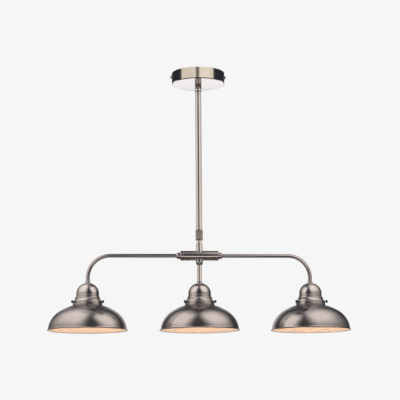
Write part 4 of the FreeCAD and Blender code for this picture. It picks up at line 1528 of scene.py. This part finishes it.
    def thumb_screw(self) -> Surface:
        """Builds a thumb screw with a ribbed head and a dished end.

        Returns:
            The screw, with nought on the lamp's axis.
        """
        tip, reach, head, edge = (self.screw_foot, self.screw_reach, self.head_radius,
                                  self.head_chamfer)
        under, shoulder, dish = reach - self.head_length, self.screw_shoulder, self.head_dish
        (point, shank, neck), (rim, dip) = self.screw_radii, self.dish_radii
        return lathed([
            (0.0, tip), (point, tip), (shank, tip + edge), (shank, shoulder), (neck, shoulder),
            (neck, under), (head - edge, under), (head, under + edge), (head, reach - edge),
            (head - edge, reach), (rim, reach), (dip, reach - dish), (0.0, reach - dish),
        ], self.head_ribs * 4, Ribs(self.head_ribs, self.rib_depth, 2, head - self.rib_depth),
            closed=False, rounding=0.12)

    def shade(self) -> Surface:
        """Builds the spun shade: neck, crown, shoulder and flared lip.

        The crown and the shoulder are a bell, the lip is an arc that hollows
        outwards, and the inner wall follows all three at the sheet's thickness.
        Its wear holds painted shade round the gallery and at the rim, and a painted
        highlight along the lip by the share times exp(-((h - height) / width)^2).

        Returns:
            The shade, with nought at the gallery's foot.
        """
        sheet, rim, foot = self.shade_sheet, self.shade_radius, -self.shade_height
        neck, top, bell = self.neck_radius, self.neck_height, self.shade_bell
        lip, (bead, bead_height) = self.lip_height + foot, self.neck_bead
        outline = trace([
            (neck - sheet, bell.crown_height(neck - sheet, sheet)),
            (*bell.meeting(sheet), bell.crown - sheet, Side.RIGHT),
            (*bell.shoulder_end(lip, sheet), bell.shoulder - sheet, Side.RIGHT),
            (rim - self.rim_insets[0], foot, self.lip_radius + sheet, Side.LEFT),
            (rim - self.rim_insets[1], sheet + foot, self.rim_roll, Side.LEFT),
            (*bell.shoulder_end(lip), self.lip_radius, Side.RIGHT),
            (*bell.meeting(), bell.shoulder, Side.LEFT),
            (neck, bell.crown_height(neck), bell.crown, Side.LEFT), (neck, top - bead_height),
            (neck + bead, top - bead_height), (neck + bead, top), (neck - sheet, top),
        ], rounding=0.3, step=1.6)
        ways = np.roll(outline.points, -1, axis=0) - outline.points
        radius, up = outline.points[:, 0], outline.points[:, 1] - foot
        # Painted shade: the wear is lowered round the gallery and at the rim
        share, height, width = self.rim_painted_shade
        darkening = 1 - rise(radius - self.crown_painted_shade[0], self.crown_painted_shade[1])
        darkening += share * (1 - rise(up - height, width))
        # Painted highlight along the lip, kept in the wear as if the metal were rubbed
        share, height, width = self.lip_painted_highlight
        rubbed = share * np.exp(-((up - height) / width) ** 2)
        worn = replace(outline, wear=np.clip(outline.wear + rubbed - darkening, -1, 1))
        lined = (ways[:, 1] < ways[:, 0]) & (up >= sheet / 4)
        return turned(worn, around=256, zones=lined.astype(int))

    def holder(self) -> Surface:
        """Builds the lampholder's body, its top rounded by an arc.

        Returns:
            The body, with nought at the dome's rim.
        """
        (bore, edge), mouth, wall = self.mouth_radii, -self.mouth_drop, self.holder_radius
        hole, top, (flange, flange_top) = self.dome_hole, self.holder_top, self.flange
        (crown, crown_round), (well, well_top, well_foot) = self.holder_crown, self.holder_well
        return lathed([
            (bore, mouth), (edge, mouth), (wall, mouth + self.holder_chamfer),
            (wall, self.holder_seam), (wall, 0.0), (flange, 0.0), (flange, flange_top),
            (wall, flange_top), (wall, self.holder_shoulder),
            (crown, top, crown_round, Side.LEFT), (hole, top), (hole, top - well_top),
            (well, top - well_top), (well, well_foot), (bore, well_foot),
        ], rounding=0.3)

    def ring(self) -> Surface:
        """Builds the ribbed ring that clamps the gallery to the lampholder.

        Returns:
            The ring, with nought at the dome's rim.
        """
        bore, outer, edge = self.gallery_hole, self.ring_radius, 0.5
        foot, top = self.ring_span
        return lathed([
            (bore, foot), (outer - edge, foot), (outer, foot + edge), (outer, top - edge),
            (outer - edge, top), (bore, top),
        ], 200, Ribs(40, 0.45, 4, outer - 0.3))

    def thread(self, angle: np.ndarray, radius: np.ndarray, height: np.ndarray
               ) -> np.ndarray:
        """Rolls a round thread into the bulb's cap.

        The radius changes by the depth times cos(2 pi z / pitch - a) - 1, which
        fades out towards both ends.

        Args:
            angle: the angle of each column.
            radius: the radius of each row.
            height: the height of each row.

        Returns:
            The change at each row and column.
        """
        low, high = self.thread_span
        fades = [np.clip(way / self.thread_fade, 0, 1) for way in (height - low, high - height)]
        wall = fades[0] * fades[1] * (radius > self.cap_radius - 0.5)
        return self.thread_depth * wall * (np.cos(TAU * height / self.thread_pitch - angle) - 1)

    def cap(self) -> Surface:
        """Builds the bulb's threaded cap with its contact.

        Returns:
            The cap, with nought at the lampholder's mouth.
        """
        foot, radius, top = self.glass_foot, self.cap_radius, self.cap_height
        (contact, button), (low, edge, high) = self.contact_radii, self.contact_heights
        rows = np.arange(self.cap_edge, top - self.cap_edge, self.thread_step)
        return lathed([
            (0.0, foot[1]), foot, *((radius, height) for height in rows), (radius, top),
            (contact, top + low), (contact, top + edge), (button, top + high),
            (0.0, top + high),
        ], relief=self.thread, closed=False, rounding=0.15)

    def globe(self) -> Surface:
        """Builds the bulb's glass: a globe, a hollow neck, and a straight foot.

        The neck is an arc from the globe, where its radius stands 50 degrees off
        the axis. It ends where the cone that touches the globe there is as wide
        as the neck.

        Returns:
            The glass, with nought at the lampholder's mouth.
        """
        radius, neck, centre = self.globe_radius, self.globe_neck, self.globe_level
        angle = math.radians(self.neck_angle)
        sine, cosine = math.sin(angle), math.cos(angle)
        return lathed([
            (0.0, centre - radius), (radius, centre, radius, Side.LEFT),
            (radius * sine, centre + radius * cosine, radius, Side.LEFT),
            (neck, centre + (radius - neck * sine) / cosine, self.neck_hollow, Side.RIGHT),
            self.glass_foot, (0.0, self.glass_foot[1]),
        ], around=128, closed=False, rounding=0.6, step=1.2)

    def build(self) -> None:
        """Makes the lamp's pieces from the top down."""
        made, x, name, base = self.finishes, self.x, self.name, self.dome_base
        top, mouth, bulb = level(f"dome_{name}"), base - self.mouth_drop, f"bulb_{name}"
        # The nut, dome and gallery take the brighter copy of the nickel, a painted highlight
        bright, plastic = made.bright, made.plastic
        self.make(f"lamp_nut_{name}", f"dome_nut_{name}", lifted(self.nut(), top, x), bright)
        self.make(f"spun_dome_{name}", f"dome_{name}", lifted(self.dome(), top, x), bright)
        self.make(f"shade_gallery_{name}", f"gallery_{name}", self.gallery(), bright)
        shade = lifted(self.shade(), self.gallery_base, x)
        self.make(f"spun_shade_{name}", f"shade_{name}", shade, made.shade, made.lining,
                  slot=Slot.SHADE)
        holder, ring = lifted(self.holder(), base, x), lifted(self.ring(), base, x)
        self.make(f"holder_body_{name}", f"lampholder_{name}", holder, plastic,
                  slot=Slot.HOLDER)
        self.make(f"gallery_ring_{name}", f"holder_ring_{name}", ring, plastic,
                  slot=Slot.HOLDER)
        for number in range(self.screw_count):
            node = f"thumb_screw_{name}_{number + 1}"
            screw = placed(self.thumb_screw(), self.radial(number))
            # The nickel thumb screws are dressed in black as painted shade
            self.make(f"ribbed_{node}", node, screw, made.black, body=node)
        cap, globe = lifted(self.cap(), mouth, x), lifted(self.globe(), mouth, x)
        self.make(f"threaded_cap_{name}", f"bulb_cap_{name}", cap, made.cap, body=bulb,
                  slot=Slot.CAP)
        self.make(f"lit_globe_{name}", f"bulb_glass_{name}", globe, made.glass, body=bulb,
                  slot=Slot.GLASS)


# Studio


@dataclass(frozen=True)
class Edge:
    """A soft side of a glow: its bearing and width at two heights, with a lean between."""

    bearings: Pair
    widths: Pair
    heights: Pair = (20.0, 60.0)

    def share(self, away: np.ndarray, height: np.ndarray, way: int) -> np.ndarray:
        """Returns the glow's share, from how far each point lies inside the edge."""
        inside = way * (away - np.interp(height, self.heights, self.bearings))
        return rise(inside, np.interp(height, self.heights, self.widths))


@dataclass(frozen=True)
class Glow:
    """A soft patch of light on a tent.

    Bearings are degrees from straight in front, positive to the right, and
    heights are degrees above the level. The side is -1 for left, 1 for right
    and 0 for both. Each edge says where the glow is nought, and its width how
    far inside that it is full.
    """

    side: int
    inner: Edge
    outer: Edge
    low: Pair
    high: Pair
    power: float
    tint: Colour = (1.0, 1.0, 1.0)

    def at(self, bearing: np.ndarray, height: np.ndarray) -> np.ndarray:
        """Works out the glow's colour, the product of its four edges.

        Args:
            bearing: the bearing of each point.
            height: its height.

        Returns:
            The colour at each point, with its three parts on the last axis.
        """
        away = bearing * self.side if self.side else np.abs(bearing)
        share = (self.inner.share(away, height, 1) * self.outer.share(away, height, -1)
                 * rise(height - self.low[0], self.low[1])
                 * rise(self.high[0] - height, self.high[1]))
        return self.power * share[..., None] * np.array(self.tint)


@dataclass(frozen=True)
class Tent:
    """A ball or a room of soft light round the pieces, as gloss shows it.

    The reach is its size to the side, above and behind. The pieces are the ones
    that it lights, or leaves out where it is for all the others. Its base light
    grows by the sky's share towards the top and the bottom.
    """

    name: str
    height: float
    reach: tuple[float, float, float]
    base: Colour
    glows: tuple[Glow, ...]
    pieces: tuple[str, ...]
    state: str = "INCLUDE"
    clear: bool = True
    sky_share: float = 0.8
    sky_edge: Pair = (30.0, 50.0)
    back_edge: Pair = (140.0, 25.0)
    columns: int = 181
    rows: int = 91

    def light(self, bearing: np.ndarray, height: np.ndarray) -> np.ndarray:
        """Works out the colour of the light.

        Args:
            bearing: the bearing of each point, in degrees.
            height: its height, in degrees.

        Returns:
            The colour at each point: the base and every glow added up.
        """
        sky = 1 + self.sky_share * rise(np.abs(height) - self.sky_edge[0], self.sky_edge[1])
        base = sky[..., None] * np.array(self.base)
        return base + sum(glow.at(bearing, height) for glow in self.glows)

    def distance(self, bearing: np.ndarray, height: np.ndarray) -> np.ndarray:
        """Works out how far the tent's wall is from its middle.

        The distance at height h is 1 over the fourth root of (cos h / side)^4
        + (sin h / above)^4, stretched towards the back.

        Args:
            bearing: the bearing of each point, in degrees.
            height: its height, in degrees.

        Returns:
            The distances in metres.
        """
        side, above, behind = self.reach
        h, (start, width) = np.radians(height), self.back_edge
        wall = ((np.cos(h) / side) ** 4 + (np.sin(h) / above) ** 4) ** -0.25
        return wall * (1 + (behind / side - 1) * rise(np.abs(bearing) - start, width))


def bands(heights: tuple[Pair, Pair], rows: Sequence[tuple[int, Pair, Pair, float]],
          tint: Colour = (1.0, 1.0, 1.0)) -> tuple[Glow, ...]:
    """Makes upright glows of one height and tint.

    Args:
        heights: the low and the high edge, each with its width.
        rows: the side, the bearing and width of the inner edge and of the outer
            one, and the power of each glow.
        tint: their colour.

    Returns:
        The glows.
    """
    glows = []
    for side, inner, outer, power in rows:
        edges = [Edge((bearing, bearing), (width, width)) for bearing, width in (inner, outer)]
        glows.append(Glow(side, *edges, *heights, power, tint))
    return tuple(glows)


def lamp_tent() -> Tent:
    """Builds the tent of the lamps and the bar, near enough to shift along it.

    Returns:
        The tent, with a leaning glow at each side, a dim back and a low band.
    """
    left = Glow(-1, Edge((20.0, 12.0), (38.0, 38.0)), Edge((132.0, 172.0), (50.0, 85.0)),
                (-14.0, 44.0), (88.0, 32.0), 1.2)
    right = Glow(1, Edge((4.0, -12.0), (42.0, 42.0)), Edge((118.0, 170.0), (54.0, 100.0)),
                 (-14.0, 52.0), (102.0, 44.0), 1.18)
    back = bands(((-80.0, 30.0), (42.0, 26.0)), [(0, (140.0, 30.0), (200.0, 1.0), 0.68)])
    low = bands(((-23.0, 5.0), (1.0, 5.0)), [(0, (-20.0, 1.0), (26.0, 16.0), 1.45)])
    return Tent("lamp_tent", -0.73, (0.83, 1.35, 3.0), (0.066, 0.069, 0.085),
                (left, right, *back, *low), CUP_PIECES + STEM_PIECES, "EXCLUDE")


def stem_tent() -> Tent:
    """Builds the tent that the stem shows.

    Returns:
        The tent, with two bands, a dark line between them and a low glow.
    """
    tall = bands(((-12.0, 8.0), (75.0, 20.0)), [
        (-1, (26.0, 9.0), (142.0, 40.0), 0.85), (-1, (58.0, 24.0), (142.0, 40.0), 0.6),
        (1, (9.0, 8.0), (142.0, 40.0), 1.0), (1, (9.0, 8.0), (66.0, 22.0), 0.4)])
    low = bands(((-32.0, 8.0), (-8.0, 5.0)), [(0, (4.0, 16.0), (124.0, 30.0), 0.95)])
    return Tent("stem_tent", -0.3, (4.0, 4.0, 4.0), (0.07, 0.07, 0.08), tall + low,
                STEM_PIECES)


def cup_tent() -> Tent:
    """Builds the tent that the cup shows, with a pale floor for its underside.

    Returns:
        The tent, the outermost, which lets no light through.
    """
    wall = bands(((-8.0, 5.0), (70.0, 20.0)), [
        (-1, (9.5, 8.0), (85.0, 8.0), 1.22), (1, (-3.0, 8.0), (70.5, 8.0), 1.22),
        (1, (12.0, 18.0), (62.0, 24.0), 0.24), (0, (-20.0, 1.0), (30.0, 15.0), 0.17),
    ], tint=(1.0, 1.0, 0.89))
    under = bands(((-40.0, 10.0), (-3.0, 6.0)), [(0, (110.0, 20.0), (200.0, 1.0), 1.55)],
                  tint=(0.92, 0.98, 1.03))
    return Tent("cup_tent", -0.3, (4.2, 4.2, 4.2), (0.04, 0.045, 0.06), wall + under,
                CUP_PIECES, clear=False)


@dataclass(frozen=True)
class Studio:
    """The floor, the pale surround, the soft light and the camera."""

    pale: float = 0.921
    ambient: float = 0.45
    floor_level: float = -4.6
    floor_radius: float = 14.0
    floor_sides: int = 64
    floor_seen: float = 0.85
    lens: float = 123.54
    eye: Vector = Vector((-0.268, -4.069, -1.094))
    pitch: float = 9.755
    yaw: float = 3.813
    roll: float = -0.409

    @property
    def pale_colour(self) -> tuple[float, float, float, float]:
        """The grey of the floor and of the surround."""
        return opaque((self.pale, self.pale, self.pale))

    def stand(self, name: str, points: np.ndarray, faces: list[list[int]],
              material: bpy.types.Material) -> bpy.types.Object:
        """Makes a part of the studio.

        Args:
            name: its name.
            points: its points, one to a row.
            faces: its faces.
            material: its material.

        Returns:
            The new object.
        """
        mesh = bpy.data.meshes.new(name)
        mesh.from_pydata(points.tolist(), [], faces)
        mesh.materials.append(material)
        made = linked(name, mesh)
        return made

    def hang_tent(self, tent: Tent) -> None:
        """Hangs a tent that gloss alone shows, and says which pieces it lights.

        A point is the middle plus the distance times (sin b cos h, -cos b cos h,
        sin h) for bearing b and height h.

        Args:
            tent: the tent.
        """
        bearing, height = np.meshgrid(np.linspace(-180, 180, tent.columns),
                                      np.linspace(-90, 90, tent.rows))
        b, h = np.radians(bearing), np.radians(height)
        rays = np.stack([np.sin(b) * np.cos(h), -np.cos(b) * np.cos(h), np.sin(h)], axis=-1)
        points = tent.distance(bearing, height)[..., None] * rays + [0, 0, tent.height]
        index = np.arange(b.size).reshape(b.shape)
        quads = np.stack([index[:-1, :-1], index[1:, :-1], index[1:, 1:], index[:-1, 1:]],
                         axis=-1).reshape(-1, 4)
        made = self.stand(tent.name, points.reshape(-1, 3), quads.tolist(),
                          self.glowing(tent))
        add_layer(made.data, GLOW_LAYER, "FLOAT_VECTOR",
                  tent.light(bearing, height).reshape(-1, 3))
        for kind in ("camera", "shadow", "diffuse", "transmission"):
            setattr(made, f"visible_{kind}", False)
        made.light_linking.receiver_collection = self.receivers(tent)

    def glowing(self, tent: Tent) -> bpy.types.Material:
        """Makes a material that only glows, and lets light through where it is clear.

        Args:
            tent: the tent.

        Returns:
            The material.
        """
        material, wiring, shader = new_material(tent.name)
        nodes = material.node_tree.nodes
        nodes.remove(shader)
        result = wiring.add("ShaderNodeEmission", {
            "Color": wiring.layer(GLOW_LAYER, "Vector")}).outputs[0]
        if tent.clear:
            through = wiring.add("ShaderNodeBsdfTransparent").outputs[0]
            result = wiring.add("ShaderNodeAddShader", {0: result, 1: through}).outputs[0]
        wiring.fill(nodes["Material Output"], {"Surface": result})
        return material

    def receivers(self, tent: Tent) -> bpy.types.Collection:
        """Collects the pieces that a tent lights or leaves out.

        Args:
            tent: the tent.

        Returns:
            The collection, with the tent's state on each piece.
        """
        group = bpy.data.collections.new(f"{tent.name} receivers")
        for piece in bpy.data.objects:
            if piece.name.startswith(tent.pieces):
                group.objects.link(piece)
        for entry in group.collection_objects:
            entry.light_linking.link_state = tent.state
        return group

    def lay_floor(self) -> None:
        """Lays the pale floor well below the light, a disc of points r (cos a, sin a)."""
        material, wiring, shader = new_material("pale floor")
        wiring.fill(shader, {"Base Color": self.pale_colour, "Roughness": 0.9})
        glow = wiring.add("ShaderNodeEmission", {"Color": self.pale_colour})
        share = self.seen_share(wiring, self.floor_seen)
        wiring.fill(material.node_tree.nodes["Material Output"],
                    {"Surface": wiring.mix_shaders(share, shader, glow)})
        turn = np.arange(self.floor_sides) * TAU / self.floor_sides
        ring = np.stack([np.cos(turn), np.sin(turn), 0 * turn], axis=1) * self.floor_radius
        self.stand("pale_floor", ring + [0, 0, self.floor_level],
                   [list(range(self.floor_sides))], material)

    def seen_share(self, wiring: Wiring, share: float) -> bpy.types.NodeSocket:
        """Works out a share for rays that see the background, straight or in gloss or glass.

        Args:
            wiring: the wiring of the tree that it is for.
            share: the share for those rays.

        Returns:
            The share, which is nought for all other rays.
        """
        path = wiring.add("ShaderNodeLightPath").outputs
        seen = wiring.maths("MAXIMUM", path["Is Camera Ray"], path["Is Glossy Ray"])
        seen = wiring.maths("MAXIMUM", seen, path["Is Transmission Ray"])
        return wiring.maths("MULTIPLY", seen, share)

    def light_world(self) -> None:
        """Gives the surround its pale tone, and a plain level on the light itself."""
        world = bpy.data.worlds.new("surround")
        world.use_nodes = True
        bpy.context.scene.world = world
        wiring, nodes = Wiring(world.node_tree), world.node_tree.nodes
        plain = wiring.fill(nodes["Background"], {
            "Color": (1.0, 1.0, 1.0, 1.0), "Strength": self.ambient})
        pale = wiring.add("ShaderNodeBackground", {"Color": self.pale_colour})
        share = self.seen_share(wiring, 1.0)
        wiring.fill(nodes["World Output"], {"Surface": wiring.mix_shaders(share, plain, pale)})

    def aim_camera(self) -> None:
        """Puts the camera at eye level below the bar, looking up at it."""
        camera = bpy.data.cameras.new("camera")
        camera.lens = self.lens
        camera.clip_end = 100.0
        holder = linked("camera", camera)
        turn = (Matrix.Rotation(math.radians(-self.yaw), 4, "Z")
                @ Matrix.Rotation(math.radians(90 + self.pitch), 4, "X")
                @ Matrix.Rotation(math.radians(self.roll), 4, "Z"))
        holder.matrix_world = Matrix.Translation(self.eye) @ turn
        bpy.context.scene.camera = holder

    def build(self) -> None:
        """Sets up the whole studio."""
        bpy.context.scene.view_settings.view_transform = "Standard"
        self.aim_camera()
        self.light_world()
        self.lay_floor()
        for tent in (lamp_tent(), stem_tent(), cup_tent()):
            self.hang_tent(tent)
        LOG.info("studio ready")


def main() -> None:
    """Builds the whole light in its studio, from the ceiling down."""
    logging.basicConfig(level=logging.INFO, format="%(name)s: %(message)s")
    finishes = Finishes.made(Groups.built())
    for assembly in (Fittings, Canopy, Stem, Hub):
        assembly(finishes).build()
    for name, side in (("left", -1), ("middle", 0), ("right", 1)):
        Lamp(finishes, name, side * Hub.lamp_spacing).build()
    Studio().build()


if __name__ == "__main__":
    main()
